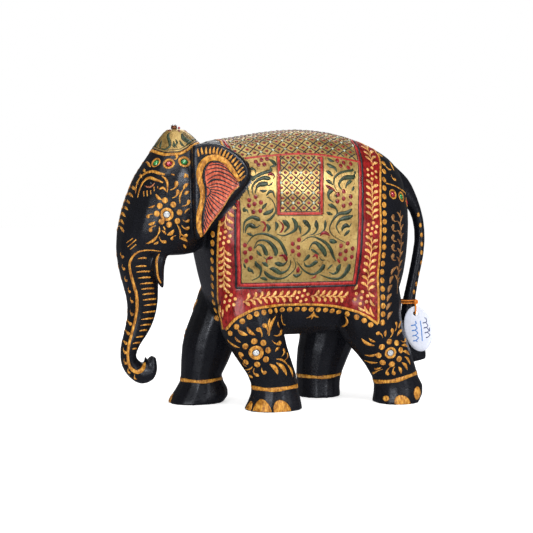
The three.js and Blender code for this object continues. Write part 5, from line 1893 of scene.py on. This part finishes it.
def direction(azimuth, elevation):
    """Unit vector to a place round the figure: azimuth from the front, in degrees."""
    a, e = math.radians(azimuth), math.radians(elevation)
    return Vector((math.sin(a) * math.cos(e), -math.cos(a) * math.cos(e), math.sin(e)))


def stand(name, data, aim, back, distance):
    """Puts a lamp or a camera at a distance from its aim, looking at it."""
    thing = bpy.data.objects.new(name, data)
    bpy.context.scene.collection.objects.link(thing)
    thing.location = aim + back * distance
    thing.rotation_mode = "QUATERNION"
    thing.rotation_quaternion = back.to_track_quat("Z", "Y")
    return thing


def white_floor():
    """A pale floor that glows a little, and looks dark in the lacquer's reflections."""
    r = FLOOR_HALF
    floor = new_object("floor", [(-r, -r, 0), (r, -r, 0), (r, r, 0), (-r, r, 0)], [(0, 1, 2, 3)])
    n = Nodes("floor_white")
    mirrored = n.add("LightPath").outputs["Is Glossy Ray"]
    tone = n.mix(mirrored, (0.9, 0.9, 0.9), (0.1, 0.1, 0.11))
    glow = n.mix(mirrored, (1, 1, 1), (0.06, 0.06, 0.07))
    n.link(glow, n.bsdf.inputs["Emission Color"])
    floor.data.materials.append(n.finish(tone, 0.6, Specular_IOR_Level=0.0, Emission_Strength=0.58))


def studio_sky():
    """White surroundings: 1.0 to the camera, 0.5 as light and 0.1 in reflections."""
    world = bpy.data.worlds.new("studio")
    bpy.context.scene.world = world
    world.use_nodes = True
    tree = world.node_tree
    sky = tree.nodes["Background"]
    sky.inputs["Color"].default_value = (1, 1, 1, 1)
    seen = tree.nodes.new("ShaderNodeLightPath")

    def scaled(ray, factor, onto):
        node = tree.nodes.new("ShaderNodeMath")
        node.operation = "MULTIPLY_ADD"
        tree.links.new(seen.outputs[ray], node.inputs[0])
        node.inputs[1].default_value = factor
        if isinstance(onto, float):
            node.inputs[2].default_value = onto
        else:
            tree.links.new(onto, node.inputs[2])
        return node.outputs[0]

    level = scaled("Is Glossy Ray", -0.4, scaled("Is Camera Ray", 0.5, 0.5))
    tree.links.new(level, sky.inputs["Strength"])


def softboxes():
    for name, azimuth, elevation, distance, size, power in SOFTBOXES:
        light = bpy.data.lights.new(name, "AREA")
        light.shape = "RECTANGLE"
        light.size, light.size_y = size
        light.energy = power
        stand(name, light, LIGHTS_AIM, direction(azimuth, elevation), distance)


def camera():
    """Left flank seen from twenty degrees ahead of square, a little above the middle."""
    lens = bpy.data.cameras.new("camera")
    lens.sensor_width = 36
    lens.lens = 36 / (PICTURE_PIXELS * MM_PER_PIXEL * MM)
    lens.shift_x = -0.016
    lens.clip_start = 0.05
    bpy.context.scene.camera = stand("camera", lens, CAMERA_AIM, direction(70, 3.5), 1.0)


white_floor()
studio_sky()
softboxes()
camera()
bpy.context.scene.view_settings.view_transform = "Standard"
